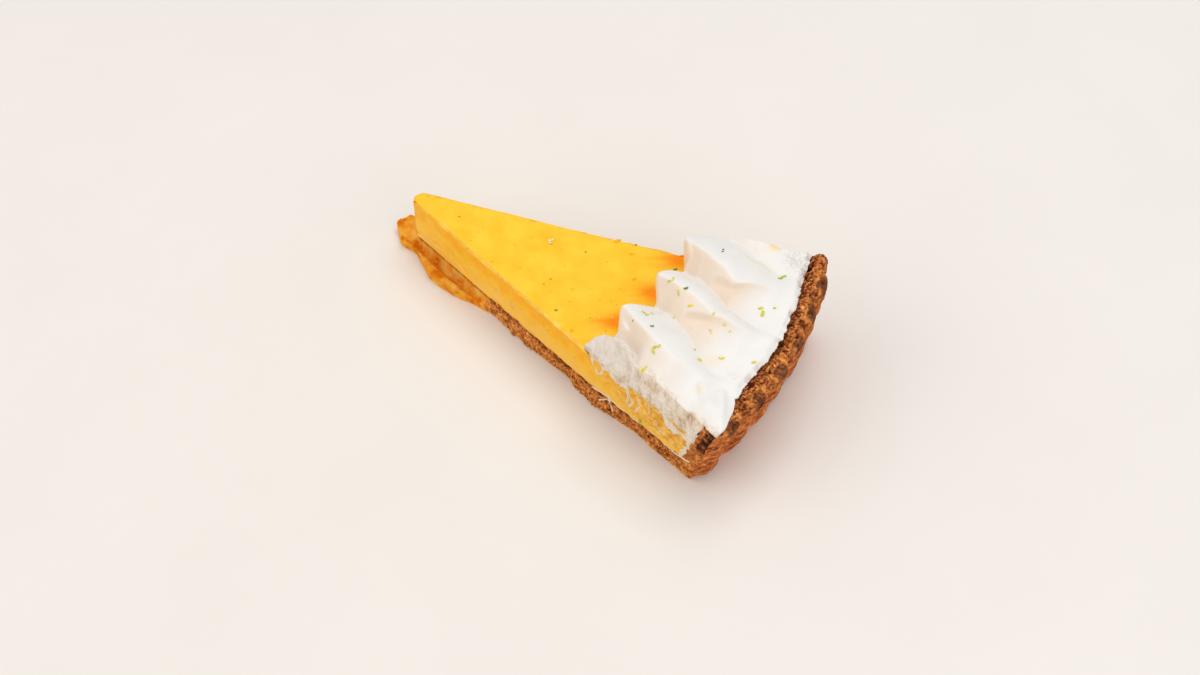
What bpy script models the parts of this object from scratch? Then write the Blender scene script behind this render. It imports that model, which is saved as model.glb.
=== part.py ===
# A slice of lemon tart: a fluted pastry crust, a lemon curd filling and piped cream with zest.
# Metres, +Z up. The slice lies flat, its tip towards -X and the fluted rim towards +X.
# The origin is on the resting plane, in the middle of the slice's footprint.
import math
import random

import bmesh
import bpy
from mathutils import Vector, noise

MM = 0.001

# The wedge. Radii and angles below are measured from its apex, the angle from the slice's axis.
APEX_X = -65.5 * MM
APEX_Y = -2.6 * MM
FRONT_CUT = ((0.0, -15.0), (72.0, -15.0), (122.0, -14.3), (140.0, -14.3))
BACK_CUT = ((0.0, 15.0), (88.0, 15.0), (106.0, 15.7), (121.0, 15.8), (128.0, 17.2), (140.0, 17.9))
GAP = 0.3 * MM

# Levels above the resting plane. The base gets thicker from the apex towards the rim.
BASE_TOP = 6.2 * MM
BASE_RISE = 0.02
CURD_TOP = 21.8 * MM
RIM_HEIGHT = ((-15.0, 31.2), (-11.0, 30.2), (-4.0, 29.4), (4.0, 29.8), (12.0, 29.4), (17.0, 29.8))

# The pastry wall: it leans outwards, and its rim is worn thinner towards the back.
FOOT_RADIUS = 126.1 * MM
OUTER_FOOT = ((-15.0, 126.0), (-8.0, 126.5), (17.0, 127.3))
OUTER_TOP = ((-15.0, 136.2), (-5.0, 135.3), (0.0, 134.5), (5.0, 133.3), (10.0, 132.0), (14.5, 131.7), (17.0, 130.0))
INNER_FOOT_RADIUS = 121.6 * MM
INNER_TOP = ((-15.0, 130.2), (-9.0, 128.8), (-3.0, 127.9), (2.0, 127.6), (5.0, 126.8), (9.0, 125.4), (17.0, 124.6))
BASE_REACH = 116.0 * MM
FLUTE_PITCH = 4.9
FLUTE_PHASE = -1.6
FLUTE_DEPTH = (2.5 * MM, 2.9 * MM)
FLUTE_SHAPE = 0.7
SCOOP_DEPTH = 1.3 * MM
FOOT_ROUND = 0.9 * MM
CAP_ROUND = 1.0 * MM
CAP_CLEARANCE = 1.1 * MM

# The broken flake of base at the tip: its edge in plan from the apex, front side and back side.
FLAKE_FRONT = ((-3.2, 1.2), (2.8, -4.2), (7.0, -3.3), (17.8, -10.3), (28.9, -11.5), (33.4, -10.7), (42.0, -11.2))
FLAKE_BACK = ((-0.8, 5.4), (4.0, 5.2), (9.0, 4.4), (15.0, 4.1), (22.0, 5.9))
FLAKE_TOP = 4.3 * MM
CREVICE_FLOOR = 2.4 * MM
CREVICE_WIDTH = 1.5 * MM
CUT_SLANT = 0.9 * MM

# The curd filling.
CURD_TIP = 7.4 * MM
CURD_BLUNT = 0.9 * MM
CURD_EDGE_ROUND = 0.8 * MM

# The piped cream: the crest line of each petal in plan, from the back of the slice to the front.
CRESTS = (
    ((88.0, 22.0), (95.0, 20.2), (102.0, 20.0), (110.0, 21.0), (126.0, 24.0)),
    ((88.0, 12.2), (92.0, 10.5), (98.0, 8.9), (104.0, 7.4), (110.0, 5.9), (118.0, 8.0), (126.0, 10.8)),
    ((88.0, 2.6), (91.0, 1.3), (98.0, 0.5), (106.0, -0.4), (111.0, -0.9), (120.0, 0.1), (128.0, 1.4)),
    ((87.0, -6.8), (90.0, -8.3), (97.0, -9.8), (104.0, -10.4), (112.0, -10.5), (119.0, -9.8), (127.0, -7.6)),
    ((84.0, -14.5), (92.0, -14.8), (98.0, -15.2), (101.0, -16.0), (104.0, -19.0), (112.0, -22.0)),
    ((88.0, -26.0), (128.0, -30.0)),
)
NOSE_RADIUS = (90.0, 90.6, 89.4, 88.4, 84.0, 86.0)
NOSE_RECESS = (3.5 * MM, 6.5 * MM)
NOSE_ROUND = 0.12
NOSE_LEAN = 0.5 * MM
NOSE_SQUARE = 0.6
SLOPE_SQUARE = 0.75
NOSE_DEPTH = (1.8 * MM, 1.8 * MM, 1.8 * MM, 1.8 * MM, 13.5 * MM, 8.0 * MM)
NOSE_SLOPE = (0.0, 0.0, 0.0, 0.0, 1.0, 0.0)
CREST_DROP = (2.0, 0.0, 0.0, 0.0, 0.4, 0.0)
CREST_ROUND = 0.07
CREST_HEIGHT = ((84.0, 34.5), (91.0, 36.4), (98.0, 37.8), (105.0, 37.8), (113.0, 36.4), (121.0, 34.4), (129.0, 31.6))
VALLEY_HEIGHT = ((90.0, 28.0), (94.0, 29.0), (99.0, 31.2), (105.0, 32.4), (113.0, 32.6), (121.0, 32.4), (129.0, 31.2))
VALLEY_SHARE = ((90.0, 0.3), (96.0, 0.3), (99.0, 0.34), (104.0, 0.4), (108.0, 0.46), (112.0, 0.56), (116.0, 0.72),
                (121.0, 0.83), (126.0, 0.88))
FRONT_VALLEY = ((88.0, 0.38), (100.0, 0.44), (110.0, 0.5), (126.0, 0.6))
FRONT_PETAL = 3
POCKETS = (0.0, 1.0, 1.0, 0.0, 0.0)
POCKET_START = (102.6, 1.4)
POCKET_SLANT = 9.0
FLANK_CURVE = 1.2
POCKET_CURVE = 0.55
BAND_CURVE = ((90.0, 1.4), (108.0, 1.7))
LOBE_CENTRE = (124.0, -13.0)
LOBE_SPREAD = (5.0, 2.6)
LOBE_LIFT = 1.8 * MM
CREAM_OUTER = ((-15.0, 135.0), (-13.0, 134.4), (-10.6, 132.0), (-8.6, 129.6), (-6.0, 128.2), (2.0, 127.9),
               (5.0, 127.2), (9.0, 126.2), (12.0, 125.2), (17.0, 125.2))

# Zest: curled shreds of peel, lying half sunk in the cream.
ZEST_COUNT = 24
ZEST_SEED = 7
ZEST_LENGTH = (1.3 * MM, 2.6 * MM)
ZEST_WIDTH = 0.62 * MM
ZEST_THICKNESS = 0.5 * MM


def smooth_step(value):
    value = min(max(value, 0.0), 1.0)
    return value * value * (3.0 - 2.0 * value)


def mix(first, second, share):
    return first + (second - first) * share


def follow(points, place):
    """Read a smooth curve through a few (place, value) points."""
    if place <= points[0][0]:
        return points[0][1]
    for (start, low), (end, high) in zip(points, points[1:]):
        if place <= end:
            return mix(low, high, smooth_step((place - start) / (end - start)) * 0.5
                       + (place - start) / (end - start) * 0.5)
    return points[-1][1]


def crumb(x, y, z, scale, seed=0.0):
    """Uneven relief between about -1 and 1, with lumps of the given size."""
    return noise.noise(Vector((x / scale + seed, y / scale - seed, z / scale + 2.0 * seed))) * 1.6


def material(name, colour, roughness):
    finish = bpy.data.materials.new(name)
    finish.use_nodes = True
    shader = finish.node_tree.nodes["Principled BSDF"]
    shader.inputs["Base Color"].default_value = (*colour, 1.0)
    shader.inputs["Roughness"].default_value = roughness
    shader.inputs["Metallic"].default_value = 0.0
    return finish


def spread(stops, steps):
    """Stations through the stops, with the given number of steps between each two."""
    stations = [stops[0]]
    for start, end, count in zip(stops, stops[1:], steps):
        stations += [mix(start, end, step / count) for step in range(1, count + 1)]
    return stations


def sliced_box(along, across, up):
    """A unit box cut at every station, so that its skin can be shaped point by point."""
    mesh = bmesh.new()
    bmesh.ops.create_cube(mesh, size=1.0)
    for vertex in mesh.verts:
        vertex.co += Vector((0.5, 0.5, 0.5))
    for axis, stations in enumerate((along, across, up)):
        normal = Vector([float(axis == number) for number in range(3)])
        for station in stations[1:-1]:
            bmesh.ops.bisect_plane(
                mesh, geom=mesh.verts[:] + mesh.edges[:] + mesh.faces[:],
                dist=1e-7, plane_co=normal * station, plane_no=normal)
    return mesh


def finish_object(name, mesh, finish, flats):
    """Merge the faces that lie in the given planes, each a height and a rise, then make the object."""
    for height, rise in flats:
        flat = [face for face in mesh.faces
                if all(abs(vertex.co.z - height - rise * (vertex.co.x - APEX_X)) < 1e-7 for vertex in face.verts)]
        bmesh.ops.dissolve_faces(mesh, faces=flat, use_verts=False)
    bmesh.ops.triangulate(mesh, faces=mesh.faces[:], quad_method="BEAUTY", ngon_method="BEAUTY")
    data = bpy.data.meshes.new(name)
    mesh.to_mesh(data)
    mesh.free()
    data.materials.append(finish)
    data.shade_smooth()
    data.set_sharp_from_angle(angle=math.radians(40))
    item = bpy.data.objects.new(name, data)
    bpy.context.scene.collection.objects.link(item)
    return item


def at(angle, distance, height):
    turn = math.radians(angle)
    return Vector((APEX_X + distance * math.cos(turn), APEX_Y + distance * math.sin(turn), height))


def cut_angle(share, radius):
    """The angle at a share of the way from the front cut to the back cut."""
    return mix(follow(FRONT_CUT, radius / MM), follow(BACK_CUT, radius / MM), share)


def base_top(place):
    """Height of the base at a place along the slice's axis, from the apex."""
    return BASE_TOP + BASE_RISE * place


def base_under(angle, distance):
    return base_top(distance * math.cos(math.radians(angle)))


def flute(angle):
    """Rounded flutes with sharp valleys: 1 at a crest, 0 in a valley."""
    phase = (angle - FLUTE_PHASE) / FLUTE_PITCH * math.pi
    return abs(math.cos(phase)) ** FLUTE_SHAPE


def rim_top(angle):
    return follow(RIM_HEIGHT, angle) * MM


def inner_wall(angle, height):
    """Radius of the wall's inner face at a height."""
    foot = base_under(angle, INNER_FOOT_RADIUS)
    share = max(height - foot, 0.0) / (rim_top(angle) - foot)
    fillet = FOOT_ROUND * (1.0 - smooth_step(share / 0.14))
    return mix(INNER_FOOT_RADIUS, follow(INNER_TOP, angle) * MM, share) - fillet


def outer_wall(angle, height):
    """Radius of the wall's fluted outer face at a height."""
    share = height / rim_top(angle)
    crest = mix(follow(OUTER_FOOT, angle) * MM, follow(OUTER_TOP, angle) * MM, share)
    return crest - mix(*FLUTE_DEPTH, share) * (1.0 - flute(angle))


def edge_of_base(points, side, distance):
    """Where the base's side lies in plan, from the apex, at a distance along the slice."""
    place = distance / MM
    for (x1, y1), (x2, y2) in zip(points, points[1:]):
        if place <= x2:
            share = max((place - x1) / (x2 - x1), 0.0)
            return distance, mix(y1, y2, share) * MM
    last_x, last_y = points[-1]
    angle = follow(FRONT_CUT, place) if side < 0.0 else follow(BACK_CUT, place)
    cut = math.tan(math.radians(angle)) * distance
    return distance, mix(last_y * MM * distance / (last_x * MM), cut, smooth_step((place - last_x) / 6.0))


def build_crust(finish):
    flake_end, base_end = 0.2, 0.56
    along = spread((0.0, flake_end, base_end, 0.62, 0.94, 1.0), (16, 32, 4, 10, 3))
    mesh = sliced_box(along, spread((0.0, 1.0), (60,)), spread((0.0, 1.0), (4,)))
    for vertex in mesh.verts:
        u, v, w = vertex.co
        if u <= base_end:
            vertex.co = base_point(u / base_end, flake_end / base_end, v, w)
        else:
            vertex.co = wall_point((u - base_end) / (1.0 - base_end), (0.62 - base_end) / (1.0 - base_end), v, w)
    roughen_crust(mesh)
    return finish_object("pastry_crust", mesh, finish, ((0.0, 0.0), (BASE_TOP, BASE_RISE)))


def base_point(share, flake_share, v, w):
    """The flat base, from the broken tip to the foot of the wall."""
    joint = FLAKE_FRONT[-1][0] * MM
    if share <= flake_share:
        front_x = mix(FLAKE_FRONT[0][0] * MM, joint, share / flake_share)
        back_x = mix(FLAKE_BACK[0][0] * MM, joint, share / flake_share)
    else:
        front_x = mix(joint, BASE_REACH, (share - flake_share) / (1.0 - flake_share))
        back_x = front_x
    front = edge_of_base(FLAKE_FRONT, -1.0, front_x)
    back = edge_of_base(FLAKE_BACK, 1.0, back_x)
    place = mix(front[0], back[0], v)
    straight = Vector((APEX_X + place, APEX_Y + mix(front[1], back[1], v), w * base_top(place)))
    round_share = smooth_step((front_x / MM - 60.0) / 50.0)
    angle = cut_angle(v, front_x)
    return straight.lerp(at(angle, front_x, w * base_under(angle, front_x)), round_share)


def wall_point(share, foot_share, v, w):
    """The turn from the base into the wall, the wall and the top of the rim."""
    angle = cut_angle(v, BASE_REACH + share * (FOOT_RADIUS - BASE_REACH) * 1.6)
    if share <= foot_share:
        turn = share / foot_share
        outer = mix(BASE_REACH, outer_wall(angle, 0.0) - FOOT_ROUND, turn)
        inner = mix(BASE_REACH, INNER_FOOT_RADIUS - FOOT_ROUND - 0.6 * MM, turn)
        radius = mix(outer, inner, w)
        return at(angle, radius, w * base_under(angle, radius))
    rise = (share - foot_share) / (1.0 - foot_share)
    top = rim_top(angle)
    outer_height = top * rise ** 1.15
    inner_height = mix(base_under(angle, INNER_FOOT_RADIUS), top - 1.4 * MM, rise)
    outer = outer_wall(angle, outer_height) - FOOT_ROUND * (1.0 - smooth_step(rise / 0.1))
    outer -= CAP_ROUND * smooth_step((rise - 0.93) / 0.07)
    radius = mix(outer, inner_wall(angle, inner_height), w)
    height = mix(outer_height, inner_height, w)
    crown = smooth_step((rise - 0.8) / 0.2)
    height += crown * math.sin(w * math.pi) * 0.7 * MM
    height -= SCOOP_DEPTH * crown * flute(angle) ** 4 * (1.0 - smooth_step(w / 0.45))
    return at(angle, radius, height)


def roughen_crust(mesh):
    """Crumbly cut faces, a sunk line under the curd, the flake's surface and a rough rim."""
    for vertex in mesh.verts:
        x, y, z = vertex.co
        place = x - APEX_X
        radius = math.hypot(place, y - APEX_Y)
        angle = math.degrees(math.atan2(y - APEX_Y, place))
        ahead = radius * math.sin(math.radians(follow(FRONT_CUT, radius / MM) - angle))
        behind = radius * math.sin(math.radians(angle - follow(BACK_CUT, radius / MM)))
        floor = base_top(place)
        if ahead > -0.1 * MM:
            low = 1.0 - min(z / (1.6 * floor), 1.0)
            vertex.co.y += CUT_SLANT * low * smooth_step((place / MM - 80.0) / 25.0)
        if radius < INNER_FOOT_RADIUS - 3.0 * MM:
            if z > 0.0 and (ahead > -0.2 * MM or behind > 1.4 * MM or place < CURD_TIP - 1.0 * MM):
                vertex.co.z = flake_height(x, y, z, ahead, behind, place)
            if place > 45.0 * MM and z > 0.0:
                if ahead > -0.1 * MM:
                    sunk = math.exp(-(((floor - z) / MM - 1.0) / 1.1) ** 2)
                    vertex.co.y += (0.9 * sunk - crumb(x, y, z, 2.6 * MM) * 0.45) * MM
                elif behind > -0.1 * MM:
                    vertex.co.y += crumb(x, y, z, 2.6 * MM, 3.0) * 0.4 * MM
            continue
        if z > CURD_TOP + 3.0 * MM:
            vertex.co.z += crumb(x, y, z, 3.1 * MM, 5.0) * 0.5 * MM
        if z > 0.0 and radius > inner_wall(angle, z) + 2.5 * MM:
            away = Vector((place, y - APEX_Y, 0.0)).normalized()
            vertex.co += away * crumb(x, y, z, 3.4 * MM, 8.0) * 0.45 * MM


def flake_height(x, y, z, ahead, behind, place):
    """Height of the base where no curd covers it: a crevice by the curd, then the broken flake."""
    share = z / base_top(place)
    if place > 45.0 * MM:
        return z
    past = max(ahead, behind, 0.0)
    crevice = 1.0 - smooth_step((past / CREVICE_WIDTH - 1.0) / 0.9)
    top = mix(FLAKE_TOP, CREVICE_FLOOR, crevice) + crumb(x, y, 0.0, 4.5 * MM, 2.0) * 0.6 * MM
    fade = smooth_step((place / MM - 38.0) / 6.0)
    return share * mix(top, base_top(place), fade)


def build_curd(finish):
    along = spread((0.0, 0.03, 1.0), (2, 20))
    across = spread((0.0, 0.04, 0.96, 1.0), (1, 14, 1))
    mesh = sliced_box(along, across, spread((0.0, 0.92, 1.0), (3, 2)))
    for vertex in mesh.verts:
        u, v, w = vertex.co
        height = mix(BASE_TOP, CURD_TOP, w)
        side = min(v, 1.0 - v)
        angle = cut_angle(v, u * INNER_FOOT_RADIUS)
        outer = inner_wall(angle, height) - 1.2 * GAP
        tip = CURD_TIP / math.cos(math.radians(angle)) - CURD_BLUNT * math.sin(v * math.pi)
        distance = mix(tip, outer, u)
        point = at(angle, distance, mix(base_under(angle, distance) + GAP, CURD_TOP, w))
        edge = CURD_EDGE_ROUND * smooth_step((w - 0.9) / 0.1) ** 2
        inward = 1.0 if v < 0.5 else -1.0
        point.y += edge * (1.0 - smooth_step(side / 0.03)) * inward
        point.x += edge * (1.0 - smooth_step(u / 0.02))
        if side < 0.001 and 0.0 < w < 1.0:
            point.y += crumb(point.x, point.y, point.z, 9.0 * MM, 4.0) * 0.3 * MM * inward
        if w > 0.999 and distance < 80.0 * MM:
            point.z += crumb(point.x, point.y, 0.0, 16.0 * MM, 6.0) * 0.25 * MM
        vertex.co = point
    return finish_object("lemon_curd", mesh, finish, ((BASE_TOP + GAP, BASE_RISE), (CURD_TOP, 0.0)))


def petal_share(angle, radius):
    """Which petal a point belongs to, and how far it lies from that crest to the next."""
    place = radius / MM
    for number in range(len(CRESTS) - 1):
        first = follow(CRESTS[number], place)
        second = follow(CRESTS[number + 1], place)
        if angle >= second:
            return number, min(max((first - angle) / (first - second), 0.0), 1.0)
    return len(CRESTS) - 2, 1.0


def toward_crest(share, valley):
    """1 at a crest, 0 in the valley between it and the next."""
    away = share / valley if share < valley else (1.0 - share) / (1.0 - valley)
    return 1.0 - (math.hypot(away, CREST_ROUND) - CREST_ROUND) / (math.hypot(1.0, CREST_ROUND) - CREST_ROUND)


def valley_at(number, place):
    return follow(FRONT_VALLEY if number == FRONT_PETAL else VALLEY_SHARE, place)


def nose_at(angle):
    """Radius at which the cream meets the curd, depth of its front, and 1 where that slopes."""
    number, share = petal_share(angle, 90.0 * MM)
    away = 1.0 - toward_crest(share, valley_at(number, 90.0))
    tip, depth, slope = [mix(values[number], values[number + 1], smooth_step(share))
                         for values in (NOSE_RADIUS, NOSE_DEPTH, NOSE_SLOPE)]
    away = (math.hypot(away, NOSE_ROUND) - NOSE_ROUND) / (math.hypot(1.0, NOSE_ROUND) - NOSE_ROUND)
    rounded = 1.0 - math.sqrt(max(1.0 - away * away, 0.0))
    recess = mix(NOSE_RECESS[0] * away, NOSE_RECESS[1] * rounded, slope)
    return tip * MM + recess, depth, slope


def cream_height(angle, radius):
    """Height of the cream's top: sharp crests, a scooped flank before each and a band behind."""
    number, share = petal_share(angle, radius)
    place = radius / MM
    valley = valley_at(number, place)
    near = toward_crest(share, valley)
    if share < valley:
        start = POCKET_START[0] + POCKET_SLANT * max(0.6 - share / valley, 0.0) / 0.6
        pocket = smooth_step((place - start) / POCKET_START[1]) * POCKETS[number]
        lift = 1.0 - (1.0 - near) ** mix(FLANK_CURVE, POCKET_CURVE, pocket)
    else:
        lift = 1.0 - (1.0 - near) ** follow(BAND_CURVE, place)
    lobe = math.exp(-((place - LOBE_CENTRE[0]) / LOBE_SPREAD[0]) ** 2
                    - ((angle - LOBE_CENTRE[1]) / LOBE_SPREAD[1]) ** 2)
    drop = mix(CREST_DROP[number], CREST_DROP[number + 1], smooth_step(share))
    top = follow(CREST_HEIGHT, place) - drop
    return mix(follow(VALLEY_HEIGHT, place), top, lift) * MM + LOBE_LIFT * lobe


def cream_top(angle, share):
    """A point of the cream's skin, from the foot of the nose over the top to the rim."""
    foot, depth, slope = nose_at(angle)
    outer = follow(CREAM_OUTER, angle) * MM
    nose_share = 0.3
    if share < nose_share:
        turn = share / nose_share * math.pi / 2.0
        upright = depth * (1.0 - math.cos(turn) ** NOSE_SQUARE) - NOSE_LEAN * math.sin(2.0 * turn)
        radius = foot + mix(upright, depth * share / nose_share, slope)
        full = cream_height(angle, foot + depth)
        rise = math.sin(turn) ** mix(NOSE_SQUARE, SLOPE_SQUARE, slope)
        return radius, mix(CURD_TOP + GAP, full, rise)
    along = (share - nose_share) / (1.0 - nose_share)
    radius = mix(foot + depth, outer, along)
    drop = 1.0 - math.sqrt(max(1.0 - smooth_step((along - 0.9) / 0.1) ** 2, 0.0))
    height = cream_height(angle, radius)
    low = cream_floor(angle, radius) + 0.4 * MM
    return radius, mix(max(height, low), low, drop)


def cream_floor(angle, radius):
    """Height of the cream's underside: flat on the curd, then up the wall and over the rim."""
    wall = inner_wall(angle, CURD_TOP) - 1.5 * GAP
    crown = follow(INNER_TOP, angle) * MM
    rise = min(max((radius - wall) / (crown - wall), 0.0), 1.0)
    return mix(CURD_TOP + GAP, rim_top(angle) + CAP_CLEARANCE, rise)


def build_cream(finish):
    along = spread((0.0, 0.3, 0.93, 1.0), (9, 26, 4))
    mesh = sliced_box(along, spread((0.0, 1.0), (60,)), spread((0.0, 1.0), (3,)))
    for vertex in mesh.verts:
        u, v, w = vertex.co
        angle = cut_angle(v, mix(86.0, 128.0, u) * MM)
        radius, height = cream_top(angle, u)
        foot, depth, slope = nose_at(angle)
        under = foot + depth * u / 0.3 if u < 0.3 else radius
        low = cream_floor(angle, under)
        height = max(height, low + 0.4 * MM * min(u / 0.05, 1.0))
        vertex.co = at(angle, mix(under, radius, w), mix(low, height, w))
    bmesh.ops.remove_doubles(mesh, verts=mesh.verts[:], dist=0.02 * MM)
    return finish_object("piped_cream", mesh, finish, ((CURD_TOP + GAP, 0.0),))


def zest_shred(number, place, heading, length):
    """One curled shred of peel, bent along an arc."""
    mesh = bmesh.new()
    bmesh.ops.create_cube(mesh, size=1.0)
    normal = Vector((1.0, 0.0, 0.0))
    for station in (-0.2, 0.2):
        bmesh.ops.bisect_plane(
            mesh, geom=mesh.verts[:] + mesh.edges[:] + mesh.faces[:],
            dist=1e-6, plane_co=normal * station, plane_no=normal)
    for vertex in mesh.verts:
        x, y, z = vertex.co
        taper = 1.0 - 1.4 * x * x
        bend = 0.45 * length * (0.25 - x * x)
        along = Vector((x * length, y * ZEST_WIDTH * taper + bend, z * ZEST_THICKNESS * taper))
        turned = Vector((along.x * math.cos(heading) - along.y * math.sin(heading),
                         along.x * math.sin(heading) + along.y * math.cos(heading), along.z))
        vertex.co = place + turned
    data = bpy.data.meshes.new("zest")
    mesh.to_mesh(data)
    mesh.free()
    return bpy.data.objects.new("zest_%d" % number, data)


def fuse_zest(cream):
    """Scatter the shreds over the cream and join them to it in one union."""
    draw = random.Random(ZEST_SEED)
    shreds = bpy.data.collections.new("zest")
    bpy.context.scene.collection.children.link(shreds)
    for number in range(ZEST_COUNT):
        angle = mix(-13.4, 13.6, (number * 0.618034 + 0.3) % 1.0)
        share = mix(0.24, 0.9, (number + 0.5 + draw.uniform(-0.3, 0.3)) / ZEST_COUNT)
        radius, height = cream_top(angle, share)
        place = at(angle, radius, height + 0.08 * MM)
        length = draw.uniform(*ZEST_LENGTH)
        shreds.objects.link(zest_shred(number, place, draw.uniform(0.0, math.pi), length))
    union = cream.modifiers.new("zest", "BOOLEAN")
    union.operation = "UNION"
    union.solver = "EXACT"
    union.operand_type = "COLLECTION"
    union.collection = shreds
    bpy.context.view_layer.update()
    evaluated = cream.evaluated_get(bpy.context.evaluated_depsgraph_get())
    joined = bpy.data.meshes.new_from_object(evaluated)
    cream.modifiers.clear()
    cream.data = joined
    joined.name = "piped_cream"
    for shred in list(shreds.objects):
        bpy.data.objects.remove(shred)
    bpy.data.collections.remove(shreds)


def main():
    for item in list(bpy.data.objects):
        bpy.data.objects.remove(item)
    pastry = material("pastry", (0.34, 0.13, 0.045), 0.8)
    curd = material("curd", (0.93, 0.56, 0.07), 0.4)
    cream = material("cream", (0.93, 0.91, 0.87), 0.45)
    build_crust(pastry)
    build_curd(curd)
    piped = build_cream(cream)
    fuse_zest(piped)


main()
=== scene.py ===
# A slice of lemon tart: fluted browned crust, lemon curd and piped cream strewn with zest.
import math
import random

import bmesh
import bpy
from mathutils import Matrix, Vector, noise
from mathutils.bvhtree import BVHTree


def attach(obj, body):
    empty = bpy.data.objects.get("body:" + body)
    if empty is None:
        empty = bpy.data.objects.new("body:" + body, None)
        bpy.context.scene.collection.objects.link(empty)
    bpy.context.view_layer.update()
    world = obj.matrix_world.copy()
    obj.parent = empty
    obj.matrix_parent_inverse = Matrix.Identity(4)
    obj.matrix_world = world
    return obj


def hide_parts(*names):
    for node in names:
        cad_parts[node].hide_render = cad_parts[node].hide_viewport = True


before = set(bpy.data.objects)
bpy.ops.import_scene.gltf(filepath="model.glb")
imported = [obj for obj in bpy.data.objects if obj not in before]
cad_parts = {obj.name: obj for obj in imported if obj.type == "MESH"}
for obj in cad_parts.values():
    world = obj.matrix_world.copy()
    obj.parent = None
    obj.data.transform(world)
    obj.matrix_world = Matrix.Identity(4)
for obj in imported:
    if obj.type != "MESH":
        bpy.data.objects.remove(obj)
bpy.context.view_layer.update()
mm = 0.001

# The slice as cut. Millimetres and degrees, measured from the tip of the wedge.
tart = {
    "tip": (-65.5, -2.6),
    "frontCut": ((0.0, -15.0), (72.0, -15.0), (122.0, -14.3), (140.0, -14.3)),
    "backCut": ((0.0, 15.0), (88.0, 15.0), (106.0, 15.7), (121.0, 15.8), (128.0, 17.2), (140.0, 17.9)),
    "gap": 0.3,
    "baseTop": 6.2,
    "baseRise": 0.02,
    "curdTop": 21.8,
    "rimHeight": ((-15.0, 31.2), (-11.0, 30.2), (-4.0, 29.4), (4.0, 29.8), (12.0, 29.4), (17.0, 29.8)),
    "innerFoot": 121.6,
    "innerTop": ((-15.0, 130.2), (-9.0, 128.8), (-3.0, 127.9), (2.0, 127.6), (5.0, 126.8), (9.0, 125.4),
                 (17.0, 124.6)),
    "outerFoot": ((-15.0, 126.0), (-8.0, 126.5), (17.0, 127.3)),
    "outerTop": ((-15.0, 136.2), (-5.0, 135.3), (0.0, 134.5), (5.0, 133.3), (10.0, 132.0), (14.5, 131.7),
                 (17.0, 130.0)),
}


def ease(value):
    value = min(max(value, 0.0), 1.0)
    return value * value * (3.0 - 2.0 * value)


def blend(first, second, share):
    return first + (second - first) * share


def follow(points, place):  # a soft line through (place, value) points
    if place <= points[0][0]:
        return points[0][1]
    for (start, low), (end, high) in zip(points, points[1:]):
        if place <= end:
            part = (place - start) / (end - start)
            return blend(low, high, (ease(part) + part) * 0.5)
    return points[-1][1]


def hump(value, middle, width):  # 1 at the middle, fading to both sides
    return math.exp(-((value - middle) / width) ** 2)


def lumps(point, size, seed=0.0):  # soft unevenness, about -1 to 1
    return noise.noise(point / (size * mm) + Vector((seed, -seed, 2.0 * seed))) * 1.6


def uneven(point, sizeAndDepth, seed):
    size, depth = sizeAndDepth
    return lumps(point, size, seed) * depth


def onward(place, startAndReach):  # from 0 to 1 along a stretch
    start, reach = startAndReach
    return ease((place - start) / reach)


def grains(point, size, seed=0.0):  # rounded grains with creases between them, 0 to 1
    near = noise.voronoi(point / (size * mm) + Vector((seed, seed, -seed)))[0]
    return min((near[1] - near[0]) * 1.6, 1.0)


def onSlice(angle, distance, height):
    turn = math.radians(angle)
    return Vector(((tart["tip"][0] + distance * math.cos(turn)) * mm,
                   (tart["tip"][1] + distance * math.sin(turn)) * mm, height * mm))


def polar(point):  # back from metres to (distance, angle, height)
    x, y = point.x / mm - tart["tip"][0], point.y / mm - tart["tip"][1]
    return math.hypot(x, y), math.degrees(math.atan2(y, x)), point.z / mm


def cutAngle(share, distance):
    return blend(follow(tart["frontCut"], distance), follow(tart["backCut"], distance), share)


def baseUnder(angle, distance):
    return tart["baseTop"] + tart["baseRise"] * distance * math.cos(math.radians(angle))


def innerWall(angle, height):
    foot = baseUnder(angle, tart["innerFoot"])
    share = max(height - foot, 0.0) / (follow(tart["rimHeight"], angle) - foot)
    return blend(tart["innerFoot"], follow(tart["innerTop"], angle), share)


def behindCut(distance, angle):  # millimetres behind the front cut and before the back one
    front = distance * math.sin(math.radians(angle - follow(tart["frontCut"], distance)))
    back = distance * math.sin(math.radians(follow(tart["backCut"], distance) - angle))
    return front, back


def deselectAll():
    bpy.ops.object.select_all(action="DESELECT")


def makeActive(piece):
    deselectAll()
    piece.select_set(True)
    bpy.context.view_layer.objects.active = piece


def nameBoth(piece, name):
    piece.name = name
    piece.data.name = name
    return piece


def applyAll(piece):
    makeActive(piece)
    for modifier in list(piece.modifiers):
        bpy.ops.object.modifier_apply(modifier=modifier.name)


def startEdit(piece, kind, action="DESELECT"):
    makeActive(piece)
    bpy.ops.object.mode_set(mode="EDIT")
    bpy.ops.mesh.select_mode(type=kind)
    bpy.ops.mesh.select_all(action=action)
    return bmesh.from_edit_mesh(piece.data)


def endEdit():
    bpy.ops.object.mode_set(mode="OBJECT")


def mergeCorners(piece):
    startEdit(piece, "VERT", "SELECT")
    bpy.ops.mesh.remove_doubles(threshold=0.01 * mm)
    endEdit()


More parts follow.
